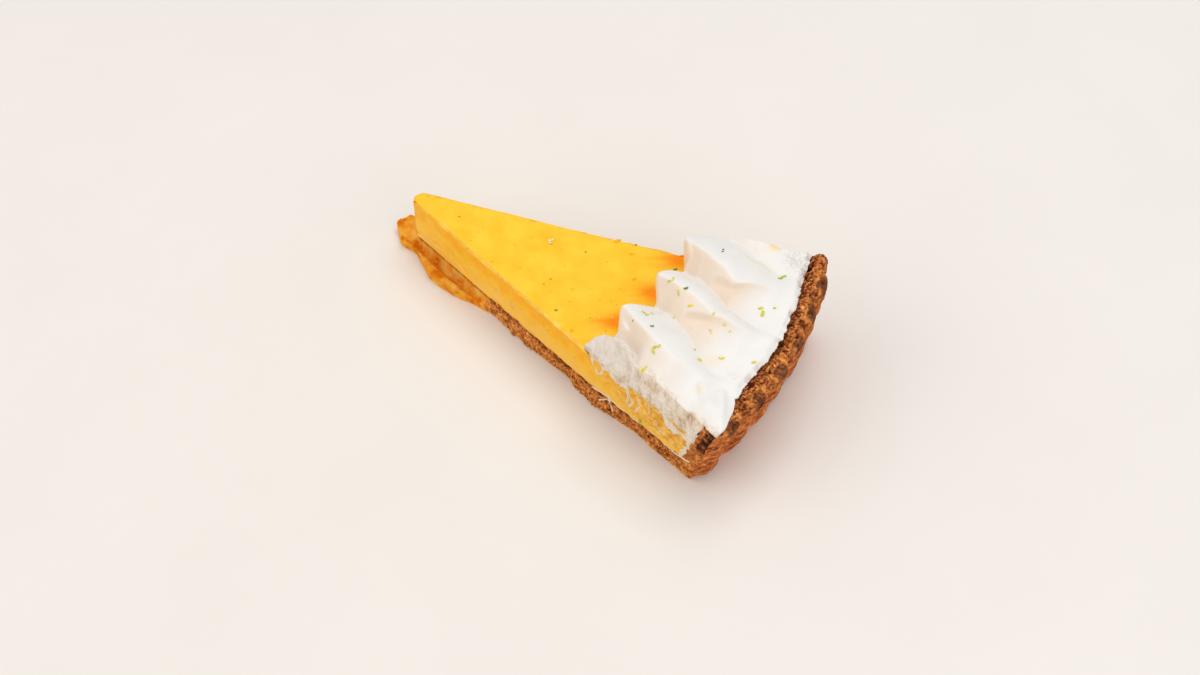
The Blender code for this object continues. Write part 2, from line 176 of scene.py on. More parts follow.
def addBlock(name, cuts):  # a unit block, its edges along each axis subdivided in rounds
    deselectAll()
    bpy.ops.mesh.primitive_cube_add(size=1.0, location=(0.5, 0.5, 0.5))
    block = nameBoth(bpy.context.object, name)
    bpy.ops.object.transform_apply(location=True, rotation=True, scale=True)
    for axis, rounds in enumerate(cuts):
        for number in rounds:
            grid = startEdit(block, "EDGE")
            for edge in grid.edges:
                span = edge.verts[0].co - edge.verts[1].co
                if abs(span[axis]) > 1e-6:
                    edge.select_set(True)
            bmesh.update_edit_mesh(block.data)
            bpy.ops.mesh.subdivide(number_cuts=number)
            endEdit()
    return block


def dissolveUnder(piece, heightAt, start=0.0):  # a hidden flat underside needs no grid
    grid = startEdit(piece, "FACE")
    for face in grid.faces:
        places = [polar(corner.co) for corner in face.verts]
        if all(distance > start and abs(height - heightAt(angle, distance)) < 1e-4
               for distance, angle, height in places):
            face.select_set(True)
    bmesh.update_edit_mesh(piece.data)
    bpy.ops.mesh.dissolve_faces()
    bpy.ops.mesh.quads_convert_to_tris()
    endEdit()


def paint(piece, name, values):  # one number from 0 to 1 for each vertex, for the materials to read
    layer = piece.data.attributes.new(name, "FLOAT", "POINT")
    layer.data.foreach_set("value", [min(max(value, 0.0), 1.0) for value in values])


def paintAll(piece, looks):
    for name, values in looks.items():
        paint(piece, name, values)


def smooth(piece, degrees):
    makeActive(piece)
    bpy.ops.object.shade_smooth_by_angle(angle=math.radians(degrees))


def joinAll(pieces, name):
    makeActive(pieces[0])
    for piece in pieces:
        piece.select_set(True)
    bpy.ops.object.join()
    return nameBoth(bpy.context.object, name)


def skinOf(piece):  # for finding where a line of sight meets a piece
    return BVHTree.FromPolygons([vertex.co for vertex in piece.data.vertices],
                                [face.vertices for face in piece.data.polygons])


def newMaterial(name, roughness, **settings):  # Subsurface_Radius in millimetres
    finish = bpy.data.materials.new(name)
    finish.use_nodes = True
    shader = finish.node_tree.nodes["Principled BSDF"]
    shader.inputs["Roughness"].default_value = roughness
    shader.inputs["Subsurface Scale"].default_value = mm
    for socket, value in settings.items():
        shader.inputs[socket.replace("_", " ")].default_value = value
    return finish, finish.node_tree, shader


def addNode(tree, kind, **settings):
    node = tree.nodes.new(kind)
    for key, value in settings.items():
        setattr(node, key, value)
    return node


def coordinates(tree):
    return addNode(tree, "ShaderNodeTexCoord").outputs["Object"]


def attribute(tree, name):
    return addNode(tree, "ShaderNodeAttribute", attribute_name=name).outputs["Fac"]


def noiseNode(tree, size, detail=3.0, roughness=0.55, stretch=None):  # size in millimetres
    node = addNode(tree, "ShaderNodeTexNoise")
    node.inputs["Scale"].default_value = 1.0 / (size * mm)
    node.inputs["Detail"].default_value = detail
    node.inputs["Roughness"].default_value = roughness
    source = coordinates(tree)
    if stretch:
        mapping = addNode(tree, "ShaderNodeMapping")
        mapping.inputs["Scale"].default_value = stretch
        tree.links.new(source, mapping.inputs["Vector"])
        source = mapping.outputs["Vector"]
    tree.links.new(source, node.inputs["Vector"])
    return node.outputs["Fac"]


def ramp(tree, value, stops):
    node = addNode(tree, "ShaderNodeValToRGB")
    band = node.color_ramp
    while len(band.elements) < len(stops):
        band.elements.new(0.5)
    for element, (place, colour) in zip(band.elements, stops):
        element.position = place
        element.color = (*colour, 1.0)
    tree.links.new(value, node.inputs["Fac"])
    return node.outputs["Color"]


def mixColour(tree, share, first, second, mode="MIX"):
    node = addNode(tree, "ShaderNodeMix", data_type="RGBA", blend_type=mode)
    for socket, value in ((0, share), (6, first), (7, second)):
        if hasattr(value, "links"):
            tree.links.new(value, node.inputs[socket])
        else:
            node.inputs[socket].default_value = value if socket == 0 else (*value, 1.0)
    return node.outputs[2]


def maths(tree, operation, first, second=0.0):
    node = addNode(tree, "ShaderNodeMath", operation=operation)
    for socket, value in enumerate((first, second)):
        if hasattr(value, "links"):
            tree.links.new(value, node.inputs[socket])
        else:
            node.inputs[socket].default_value = value
    return node.outputs[0]


def bump(tree, shader, height, distance, strength=1.0):  # distance in millimetres
    node = addNode(tree, "ShaderNodeBump")
    node.inputs["Strength"].default_value = strength
    node.inputs["Distance"].default_value = distance * mm
    tree.links.new(height, node.inputs["Height"])
    tree.links.new(node.outputs["Normal"], shader.inputs["Normal"])


def speckGroup():
    group = bpy.data.node_groups.new("specks", "ShaderNodeTree")
    for socket in ("Size", "Spacing", "Share"):
        group.interface.new_socket(socket, in_out="INPUT", socket_type="NodeSocketFloat")
    group.interface.new_socket("Mask", in_out="OUTPUT", socket_type="NodeSocketFloat")
    inside = addNode(group, "NodeGroupInput")
    outside = addNode(group, "NodeGroupOutput")
    cells = addNode(group, "ShaderNodeTexVoronoi")
    group.links.new(coordinates(group), cells.inputs["Vector"])
    group.links.new(maths(group, "DIVIDE", 1.0 / mm, inside.outputs["Spacing"]), cells.inputs["Scale"])
    reach = maths(group, "DIVIDE", inside.outputs["Size"], inside.outputs["Spacing"])
    near = maths(group, "LESS_THAN", cells.outputs["Distance"], reach)
    split = addNode(group, "ShaderNodeSeparateColor")
    group.links.new(cells.outputs["Color"], split.inputs[0])
    chosen = maths(group, "LESS_THAN", split.outputs[0], inside.outputs["Share"])
    group.links.new(maths(group, "MULTIPLY", near, chosen), outside.inputs["Mask"])
    return group


specks = speckGroup()


def addSpecks(tree, size, spacing, share):  # radius, spacing and how many of the places are taken
    node = addNode(tree, "ShaderNodeGroup", node_tree=specks)
    for socket, value in (("Size", size), ("Spacing", spacing), ("Share", share)):
        node.inputs[socket].default_value = value
    return node.outputs["Mask"]


# The camera comes first, because small things are placed by where the photograph shows them.
cameraPlace = {
    "fromTip": (280.543, -305.334, 449.593),
    "turn": (39.363, 0.6952, 33.5326),
    "lens": 60.0,
    "sensor": 36.0,
    "frame": (1200.0, 675.0),
}

print("camera")
deselectAll()
x, y, z = cameraPlace["fromTip"]
bpy.ops.object.camera_add(location=((x + tart["tip"][0]) * mm, (y + tart["tip"][1]) * mm, z * mm),
                          rotation=[math.radians(value) for value in cameraPlace["turn"]])
camera = bpy.context.object
camera.data.lens = cameraPlace["lens"]
camera.data.sensor_width = cameraPlace["sensor"]
camera.data.clip_start = 0.01
bpy.context.scene.camera = camera
bpy.context.view_layer.update()
cameraTurn = camera.matrix_world.to_quaternion()
cameraAcross = cameraTurn @ Vector((1.0, 0.0, 0.0))


def sightLine(x, y):  # from the camera through a point of its frame
    wide, high = cameraPlace["frame"]
    reach = wide * cameraPlace["lens"] / cameraPlace["sensor"]
    away = cameraTurn @ Vector((x - wide / 2.0, high / 2.0 - y, -reach))
    return camera.location.copy(), away.normalized()


def seenAt(x, y, height):  # where a line of sight passes a height, in millimetres
    start, away = sightLine(x, y)
    return start + away * ((height * mm - start.z) / away.z)


def awayFrom(point, x, y, height):  # how far a point lies from that place, as seen from above
    return (point - seenAt(x, y, height)).to_2d().length / mm


curdPiece = {
    "tip": 7.4,
    "blunt": 0.9,
    "intoWall": 0.2,
    "edgeRound": 0.8,
    "cuts": ((59, 3), (49, 1), (29,)),
    "towardSides": 0.6,
    "covered": (82.0, 4.0),
    "waves": (16.0, 0.22),
    "skin": (2.6, 0.03),
    "drag": (11.0, 0.2),
    "tear": (3.6, 0.6),
    "grain": (1.3, 0.03, 0.17),
    "grainStart": (85.0, 20.0),
    "lowerEdge": 0.12,
    "lowerStart": 42.0,
    "lowerSink": 0.3,
    "lowerBumps": (3.1, 0.5),
    "lowerOut": 0.25,
    "nicks": (2.6, 0.5),
    "fineNicks": (0.9, 0.25),
    "nickLimit": (0.15, 0.45),
    "nickSink": 0.1,
    "nickDepth": 0.9,
    "sideNicks": (1.7, 0.3),
    "lump": (550.7, 240.8, 1.1, 0.9),
    "shades": ((683.0, 260.0), (657.0, 293.0), (621.0, 322.0)),
    "shadeLeft": 6.2,
    "shadeDeep": 3.2,
    "shadedFrom": 70.0,
    "goldenFrom": (80.0, 35.0),
    "specks": ((0.16, 2.3, 0.3, (0.42, 0.33, 0.02)), (0.3, 5.5, 0.4, (0.80, 0.50, 0.01)),
               (0.2, 3.1, 0.35, (1.0, 0.80, 0.32))),
}


def curdPoint(u, v, w):
    v = v - curdPiece["towardSides"] * math.sin(2.0 * math.pi * v) / (2.0 * math.pi)
    side = min(v, 1.0 - v)
    angle = cutAngle(v, u * tart["innerFoot"])
    outer = innerWall(angle, blend(tart["baseTop"], tart["curdTop"], w)) + curdPiece["intoWall"]
    tip = curdPiece["tip"] / math.cos(math.radians(angle)) - curdPiece["blunt"] * math.sin(v * math.pi)
    distance = blend(tip, outer, u)
    point = onSlice(angle, distance, blend(baseUnder(angle, distance) + tart["gap"], tart["curdTop"], w))
    inward = 1.0 if v < 0.5 else -1.0
    edge = curdPiece["edgeRound"] * ease((w - 0.93) / 0.07) ** 2 * mm
    point.y += edge * (1.0 - ease(side / 0.02)) * inward
    point.x += edge * (1.0 - ease(u / 0.015))
    if side < 0.002 and 0.0 < w < 1.0:  # the cut sides: dragged by the knife, with small tears
        along = Vector((point.x, 0.0, point.z))
        drag = uneven(Vector((along.x, 0.0, along.z * 2.5)), curdPiece["drag"], 4.0)
        size, depth = curdPiece["tear"]
        tear = max(lumps(Vector((along.x, 0.0, along.z * 1.6)), size, 9.0) - 0.55, 0.0) * depth
        size, near, far = curdPiece["grain"]
        grain = lumps(along, size, 5.0) * (near + far * onward(distance, curdPiece["grainStart"]))
        point.y += (drag + tear + grain) * mm * inward
    if w > 0.999:
        bare = 1.0 - onward(distance, curdPiece["covered"])
        point.z += (uneven(point, curdPiece["waves"], 6.0) + uneven(point, curdPiece["skin"], 2.0)) * mm * bare
        x, y, radius, height = curdPiece["lump"]
        away = awayFrom(point, x, y, tart["curdTop"])
        point.z += height * hump(away, 0.0, radius) * (1.0 + 0.4 * lumps(point, 0.9, 3.0)) * mm
    if w < curdPiece["lowerEdge"] and distance > curdPiece["lowerStart"]:  # it rests on the crumbly base
        lower = (1.0 - ease(w / curdPiece["lowerEdge"])) * (1.0 - ease(side / 0.01))
        lift = max(uneven(point, curdPiece["lowerBumps"], 91.0), 0.0) - curdPiece["lowerSink"]
        point.z += lift * lower * mm
        point.y += curdPiece["lowerOut"] * lower * mm * inward
    if w > 0.96:  # ragged upper edges
        edgeNick = 1.0 - ease(side / 0.014)
        nick = uneven(point, curdPiece["nicks"], 12.0) + uneven(point, curdPiece["fineNicks"], 7.0)
        nick = min(nick, curdPiece["nickLimit"][0 if v < 0.5 else 1]) - curdPiece["nickSink"]
        point.z += nick * edgeNick * curdPiece["nickDepth"] * mm
        point.y -= uneven(point, curdPiece["sideNicks"], 17.0) * edgeNick * mm * inward
    return point


def curdShade(point):  # painted shadow of the cream's noses on the curd, a deep orange beside each nose
    left = Vector((-cameraAcross.x, -cameraAcross.y)).normalized()
    total = 0.0
    for x, y in curdPiece["shades"]:
        away = (point - seenAt(x, y, tart["curdTop"])).to_2d() / mm
        along, deep = away.dot(left), away.dot(Vector((-left.y, left.x)))
        finger = 1.0 + 0.3 * lumps(Vector((along * 0.25, deep, x)) * mm, 1.6, 3.0)
        near = (along / (curdPiece["shadeLeft"] * finger)) ** 2 + (deep / curdPiece["shadeDeep"]) ** 2
        total += math.exp(-near)
    return min(total * 1.25, 1.0)


def curdMaterial():
    finish, tree, shader = newMaterial("lemonCurd", 0.4, Specular_IOR_Level=0.12, Subsurface_Weight=0.1,
                                       Subsurface_Radius=(3.0, 1.2, 0.2))
    top = ramp(tree, noiseNode(tree, 7.0, 5.0), ((0.32, (0.97, 0.55, 0.022)), (0.68, (1.0, 0.65, 0.05))))
    level = maths(tree, "ADD", attribute(tree, "level"),
                  maths(tree, "MULTIPLY", maths(tree, "SUBTRACT", noiseNode(tree, 4.5, 4.0), 0.5), 1.1))
    side = ramp(tree, level, ((0.0, (1.0, 0.56, 0.09)), (0.35, (1.0, 0.54, 0.04)), (0.62, (1.0, 0.51, 0.012)),
                              (0.8, (1.0, 0.42, 0.0)), (0.94, (1.0, 0.49, 0.0))))
    golden = ramp(tree, noiseNode(tree, 1.8, 5.0, 0.65),
                  ((0.33, (0.55, 0.22, 0.01)), (0.5, (0.83, 0.40, 0.04)), (0.66, (0.97, 0.66, 0.22))))
    side = mixColour(tree, attribute(tree, "golden"), side, golden)
    colour = mixColour(tree, attribute(tree, "side"), top, side)
    # painted highlight along the curd's top edges, pale yellow
    colour = mixColour(tree, attribute(tree, "pale"), colour, (1.0, 0.78, 0.24))
    # painted shadow of the cream's noses, deep orange
    colour = mixColour(tree, attribute(tree, "shade"), colour, (0.98, 0.28, 0.0))
    for size, spacing, share, tint in curdPiece["specks"]:
        colour = mixColour(tree, addSpecks(tree, size, spacing, share), colour, tint)
    tree.links.new(colour, shader.inputs["Base Color"])
    bump(tree, shader, noiseNode(tree, 0.9, 5.0), 0.12, 0.6)
    return finish


print("curd")
curd = addBlock("curd", curdPiece["cuts"])
curdLooks = {name: [] for name in ("side", "level", "golden", "shade", "pale")}
for vertex in curd.data.vertices:
    u, v, w = vertex.co
    onSide = min(v, 1.0 - v, u) < 0.0015
    vertex.co = curdPoint(u, v, w)
    distance, angle, height = polar(vertex.co)
    golden = onward(distance, curdPiece["goldenFrom"]) * 0.9 + 0.25 * lumps(vertex.co, 5.0, 8.0)
    # painted highlight along the top edges of both cut sides
    edge = (1.0 - ease(min(v, 1.0 - v) / 0.02)) * ease((w - 0.93) / 0.05)
    curdLooks["side"].append(1.0 if onSide and w < 0.97 else 0.0)
    curdLooks["level"].append(w)
    curdLooks["golden"].append(min(golden, 1.0) * ease(w * 3.0))
    # the painted shadow of the noses falls on the curd's top only
    shaded = w > 0.999 and distance > curdPiece["shadedFrom"]
    curdLooks["shade"].append(curdShade(vertex.co) if shaded else 0.0)
    curdLooks["pale"].append(edge * (0.5 + 0.35 * lumps(vertex.co, 3.0)))
paintAll(curd, curdLooks)
dissolveUnder(curd, lambda angle, distance: baseUnder(angle, distance) + tart["gap"])
curd.data.materials.append(curdMaterial())
smooth(curd, 50)
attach(curd, "root")
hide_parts("lemon_curd")
print("curd faces", len(curd.data.polygons))


crustPiece = {
    "voxel": 0.315,
    "flutePitch": 4.9,
    "flutePhase": -1.6,
    "fluteDepth": (2.5, 2.9),
    "fluteShape": 0.7,
    "wallFrom": (117.0, 4.0),
    "bakedFrom": (-6.5, 3.5),
    "bakedFlakeTo": (37.0, 6.0),
    "lightBaseTo": (58.0, 16.0),
    "darkFrom": (16.0, 5.0),
    "holeHeight": 29.4,
    "holes": ((802.0, 322.0, 0.75, 1.3), (797.0, 337.0, 0.6, 1.1), (781.0, 343.0, 0.8, 1.1),
              (808.0, 266.0, 1.1, 1.4), (815.0, 300.0, 0.5, 0.7), (770.0, 372.0, 0.5, 0.8),
              (752.0, 385.0, 0.6, 0.8)),
    "cutHoles": ((698.0, 461.0, 0.35, 0.6), (703.5, 468.0, 0.3, 0.4)),
    "streakOnCut": ((706.0, 441.0), (703.0, 447.0), (701.5, 453.0)),
    "streakWidth": 0.8,
    "rubble": (0.95, 0.5),
    "rubbleDepth": 0.2,
    "lumps": (3.2, 0.2),
    "pits": (2.4, 1.1),
    "footWobble": ((40.0, 0.0), (56.0, 0.0), (66.0, 0.5), (75.4, 1.3), (79.0, 0.1), (88.0, -0.2), (95.0, 0.4),
                   (103.0, 0.9), (111.0, 0.2), (121.0, 0.4)),
    "wobbleReach": (3.0, 6.5),
    "corner": (0.9, -0.35),
    "cornerReach": (3.0, 6.0),
    "cornerFrom": (121.0, 3.0),
    "lip": (0.55, 1.3),
    "lipReach": (1.5, 1.2),
    "lipFrom": (40.0, 4.0),
    "lipTo": 121.0,
    "crumbs": 260,
    "crumbRadius": (0.2, 0.5),
    "crumbSeed": 11,
}


def flute(angle):
    phase = (angle - crustPiece["flutePhase"]) / crustPiece["flutePitch"] * math.pi
    return abs(math.cos(phase)) ** crustPiece["fluteShape"]


def acrossRim(distance, angle, height):  # 0 on the wall's outer face, 1 on its inner one
    share = height / follow(tart["rimHeight"], angle)
    outer = blend(follow(tart["outerFoot"], angle), follow(tart["outerTop"], angle), share)
    outer -= blend(*crustPiece["fluteDepth"], share) * (1.0 - flute(angle))
    return (outer - distance) / (outer - innerWall(angle, height))


def seenOnCut(x, y):  # where a line of sight passes the front cut at the rim
    turn = math.radians(tart["frontCut"][-1][1])
    outward = Vector((math.sin(turn), -math.cos(turn), 0.0))
    start, away = sightLine(x, y)
    return start + away * ((onSlice(0.0, 0.0, 0.0) - start).dot(outward) / away.dot(outward))


crustHoles = [(seenAt(x, y, crustPiece["holeHeight"]), radius, deep)
              for x, y, radius, deep in crustPiece["holes"]]
cutHoles = [(polar(seenOnCut(x, y)), radius, deep) for x, y, radius, deep in crustPiece["cutHoles"]]
cutStreak = [polar(seenOnCut(x, y)) for x, y in crustPiece["streakOnCut"]]


def crustLook(point):  # depth of the relief, then how baked it is, its tone with painted highlight and shade, how hollow it is, its painted edge highlight, and how flaky and plain it is
    distance, angle, height = polar(point)
    rim = follow(tart["rimHeight"], angle)
    front = behindCut(distance, angle)[0]
    floor = baseUnder(angle, distance)
    wall = onward(distance, crustPiece["wallFrom"])
    upper = onward(height - rim, crustPiece["bakedFrom"]) * wall
    across = acrossRim(distance, angle, height)
    wander = 0.12 * lumps(point, 3.0, 27.0)
    scoop = upper * flute(angle) ** 4 * (1.0 - ease((across + wander - 0.36) / 0.22))
    hollow = scoop * (0.85 + 0.15 * lumps(point, 3.0, 33.0))
    # painted highlight along the ridges beside the scoops and along the middle of the rim's top
    edge = upper * hump(scoop, 0.3, 0.17) * (0.85 + 0.5 * lumps(point, 1.1, 37.0))
    edge += 0.45 * upper * hump(across + wander, 0.5, 0.045)
    flake = (1.0 - onward(distance, crustPiece["bakedFlakeTo"])) * (1.0 - wall)
    coarse, small = crustPiece["rubble"]
    rubble = 0.6 * lumps(point, coarse, 3.0) + 0.4 * lumps(point, small, 13.0)
    size, deep = crustPiece["pits"]
    pit = max(lumps(point, size, 21.0) - 0.62, 0.0) * deep * (0.4 + upper)
    rough = (1.0 - 0.85 * hollow) * (0.5 + 0.5 * max(upper, 1.0 - wall)) * (1.0 - 0.8 * flake)
    # painted highlight on raised crumbs and painted shade in pits, with some random tone
    toneAndShading = 0.5 + 0.75 * rubble * rough - 0.4 * pit + 0.22 * lumps(point, 2.6, 61.0)
    depth = rubble * crustPiece["rubbleDepth"] - pit
    depth = depth * rough + uneven(point, crustPiece["lumps"], 7.0)
    holes = [((point - place).to_2d().length / mm, radius, deep)
             for place, radius, deep in crustHoles if upper > 0.1]
    if wall > 0.5 and front < 1.5:
        holes += [(math.hypot(distance - place[0], height - place[2]), radius, deep)
                  for place, radius, deep in cutHoles]
    # painted shade in the holes, with a painted highlight around their rims
    for away, radius, deep in holes:
        depth -= deep * hump(away, 0.0, radius)
        toneAndShading -= 0.8 * hump(away, 0.0, radius)
        edge += 0.3 * hump(away, radius * 1.6, 0.3)
    if wall < 0.5:
        # painted shadow under the curd: a darker, more toasted band just below the base's top
        sunk = hump(height, floor - 1.1, 0.9) * (1.0 - flake)
        foot = 1.0 - ease((height - 0.3) / 1.6)
        toast = 0.12 + 0.4 * sunk - 0.6 * foot + 0.35 * lumps(point, 4.0, 1.0)
        toneAndShading += 0.02 + 0.2 * foot + 0.18 * (1.0 - onward(distance, crustPiece["lightBaseTo"]))
        plain = 0.45 * (1.0 - foot) * (1.0 - flake)
        # painted shade in the crevice at the foot of the curd, darker and less golden
        crevice = ease((height - floor + 1.6) / 0.8) * ease((front + 1.6) / 1.2)
        toneAndShading = 0.5 + (toneAndShading - 0.5 - 0.18 * sunk) * (1.0 - 0.85 * flake) - 0.12 * crevice
        flake *= 1.0 - 0.85 * crevice
    else:
        dark = 1.2 * onward(height, crustPiece["darkFrom"]) * ease((0.75 - across) / 0.3)
        dark *= hump(front, 0.0, 1.2)
        bare = hump(front, 0.0, 0.8) * (1.0 - dark)
        toast = 0.35 + 0.65 * upper + 0.3 * lumps(point, 5.0, 1.0)
        toast = blend(toast, 0.22 + 0.12 * rubble, bare) + 0.8 * dark
        plain = max((1.0 - ease((across - 0.1) / 0.2)) * (1.0 - 0.7 * upper), 0.45 * bare)
        toast -= 0.25 * (1.0 - ease(height / 8.0))
        toneAndShading -= 0.34 * dark
        if front < 1.5:
            hollow = max(hollow, 0.9 * dark)
            away = min(math.hypot(distance - place[0], height - place[2]) for place in cutStreak)
            edge += 1.2 * hump(away, 0.0, crustPiece["streakWidth"])
    return depth * ease((height - 0.15) / 0.5), toast, toneAndShading, hollow, edge, flake, plain


def crustMaterial():
    finish, tree, shader = newMaterial("bakedPastry", 0.8, Specular_IOR_Level=0.08)
    grainy = noiseNode(tree, 0.85, 6.0, 0.7)
    dark = ramp(tree, grainy, ((0.39, (0.05, 0.010, 0.003)), (0.46, (0.22, 0.050, 0.012)),
                               (0.53, (0.44, 0.115, 0.028)), (0.61, (0.90, 0.35, 0.12))))
    pale = ramp(tree, grainy, ((0.36, (0.26, 0.065, 0.008)), (0.48, (0.62, 0.20, 0.026)),
                               (0.62, (0.97, 0.47, 0.12))))
    colour = mixColour(tree, attribute(tree, "toast"), pale, dark)
    wall = ramp(tree, noiseNode(tree, 1.8, 5.0, 0.6),
                ((0.36, (0.34, 0.082, 0.017)), (0.5, (0.57, 0.162, 0.038)), (0.62, (0.80, 0.27, 0.075))))
    colour = mixColour(tree, attribute(tree, "plain"), colour, wall)
    golden = ramp(tree, noiseNode(tree, 3.4, 3.0, 0.5),
                  ((0.34, (0.78, 0.21, 0.006)), (0.44, (1.0, 0.36, 0.018)), (0.52, (1.0, 0.44, 0.04)),
                   (0.62, (1.0, 0.56, 0.10))))
    colour = mixColour(tree, attribute(tree, "flake"), colour, golden)
    hollow = ramp(tree, noiseNode(tree, 2.0, 5.0, 0.6),
                  ((0.35, (0.055, 0.016, 0.008)), (0.65, (0.17, 0.06, 0.03))))
    colour = mixColour(tree, attribute(tree, "hollow"), colour, hollow)
    # painted highlight on ridges and hole rims, and an orange line along the streak on the cut
    colour = mixColour(tree, attribute(tree, "edge"), colour, (0.78, 0.27, 0.06))
    # painted highlight and shade of the crumb relief, with the pastry's own lighter and darker tone,
    # multiplied in
    toneAndShading = ramp(tree, attribute(tree, "toneAndShading"), ((0.0, (0.22, 0.12, 0.08)), (0.35, (0.75, 0.68, 0.62)),
                                                    (0.55, (1.0, 1.0, 1.0)), (0.9, (1.35, 1.5, 1.6))))
    colour = mixColour(tree, 1.0, colour, toneAndShading, "MULTIPLY")
    tree.links.new(colour, shader.inputs["Base Color"])
    worn = maths(tree, "MAXIMUM", maths(tree, "MULTIPLY", attribute(tree, "plain"), 0.6),
                 maths(tree, "MULTIPLY", attribute(tree, "hollow"), 0.85))
    bump(tree, shader, maths(tree, "MULTIPLY", grainy, maths(tree, "SUBTRACT", 1.0, worn)), 0.7, 0.9)
    return finish


def thinHidden(piece):  # the underside and the floor under the curd need few faces
    grid = startEdit(piece, "FACE")
    for face in grid.faces:
        distance, angle, height = polar(face.calc_center_median())
        covered = min(behindCut(distance, angle)) > 2.5 and 12.0 < distance < 119.0
        if height < 0.1 or (covered and height < 12.0):
            face.select_set(True)
    bmesh.update_edit_mesh(piece.data)
    bpy.ops.mesh.decimate(ratio=0.03)
    endEdit()


print("crust")
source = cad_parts["pastry_crust"]
makeActive(source)
bpy.ops.object.duplicate()
crust = bpy.context.object
crust.name = "crust"
crust.parent = None
crust.data.materials.clear()
mergeCorners(crust)
remesh = crust.modifiers.new("even", "REMESH")
remesh.mode = "VOXEL"
remesh.voxel_size = crustPiece["voxel"] * mm
applyAll(crust)
crustLooks = {name: [] for name in ("toast", "toneAndShading", "hollow", "edge", "flake", "plain")}
normals = [vertex.normal.copy() for vertex in crust.data.vertices]
for vertex, normal in zip(crust.data.vertices, normals):
    distance, angle, height = polar(vertex.co)
    depth, *values = crustLook(vertex.co)
    for name, value in zip(crustLooks, values):
        crustLooks[name].append(value)
    front, back = behindCut(distance, angle)
    if distance < 124.0:  # the wavy lower edge of the cut
        deep, high = crustPiece["wobbleReach"]
        inward = follow(crustPiece["footWobble"], distance) * (1.0 - ease(height / high))
        vertex.co.y += inward * (1.0 - ease(front / deep)) * mm
    if distance > crustPiece["cornerFrom"][0]:  # the sharp corner at the foot of the rim
        deep, high = crustPiece["cornerReach"]
        corner = (1.0 - ease(front / deep)) * (1.0 - ease(height / high))
        corner *= onward(distance, crustPiece["cornerFrom"])
        vertex.co += Vector((*crustPiece["corner"], 0.0)) * corner * mm
    deep, high = crustPiece["lipReach"]
    if (crustPiece["lipFrom"][0] < distance < crustPiece["lipTo"] and min(front, back) < deep
            and abs(height - baseUnder(angle, distance)) < high):  # the base rises over the foot of the curd
        lip = (1.0 - ease(min(front, back) / deep)) * (0.35 + 0.4 * max(lumps(vertex.co, 2.8, 71.0), -0.4))
        lip *= onward(distance, crustPiece["lipFrom"])
        out, up = crustPiece["lip"]
        vertex.co += Vector((0.0, -out if front < back else out, up)) * lip * mm
    vertex.co += normal * depth * mm
    vertex.co.z = max(vertex.co.z, 0.0)
paintAll(crust, crustLooks)
thinHidden(crust)
crust.data.materials.append(crustMaterial())
smooth(crust, 60)
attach(crust, "root")
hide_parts("pastry_crust")
print("crust triangles", sum(len(face.vertices) - 2 for face in crust.data.polygons))


def crumbPlaces(draw):  # where crumbs cling: the cut base, its foot and the rim
    places = []
    vertices = crust.data.vertices
    while len(places) < crustPiece["crumbs"]:
        vertex = vertices[draw.randrange(len(vertices))]
        distance, angle, height = polar(vertex.co)
        front, back = behindCut(distance, angle)
        rim = height > follow(tart["rimHeight"], angle) - 1.5
        cut = min(front, back) < 0.7 and 0.4 < height < 6.5 and vertex.normal.z < 0.7 and distance > 45.0
        if (rim and draw.random() < 0.12) or (cut and draw.random() < (0.9 if height < 2.0 else 0.25)):
            places.append((vertex.co.copy(), vertex.normal.copy(), rim))
    return places


print("crumbs")
draw = random.Random(crustPiece["crumbSeed"])
deselectAll()
bpy.ops.mesh.primitive_ico_sphere_add(subdivisions=2, radius=1.0, location=(0.0, 0.0, 0.0))
crumb = bpy.context.object
for vertex in crumb.data.vertices:
    vertex.co *= 1.0 + 0.8 * noise.noise(vertex.co * 1.9)
shape = [vertex.co.copy() for vertex in crumb.data.vertices]
crumbList, crumbToast = [], []
for place, normal, rim in crumbPlaces(draw):
    makeActive(crumb)
    bpy.ops.object.duplicate()
    piece = bpy.context.object
    size = draw.uniform(*crustPiece["crumbRadius"])
    turn = Vector([draw.uniform(-1.0, 1.0) for number in range(3)]).to_track_quat("Z", "Y")
    for vertex, start in zip(piece.data.vertices, shape):
        vertex.co = place + (turn @ start * size + normal * size * 0.25) * mm
        vertex.co.z = max(vertex.co.z, 0.0)
    crumbList.append(piece)
    crumbToast += [(0.75 if rim else 0.25) + draw.uniform(-0.25, 0.25)] * len(shape)
bpy.data.objects.remove(crumb)
crumbs = joinAll(crumbList, "crumbs")
crumbLooks = {name: [0.0] * len(crumbToast) for name in crustLooks}
crumbLooks["toast"] = crumbToast
crumbLooks["toneAndShading"] = [0.6] * len(crumbToast)
paintAll(crumbs, crumbLooks)
crumbs.data.materials.append(crust.data.materials[0])
smooth(crumbs, 60)
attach(crumbs, "root")


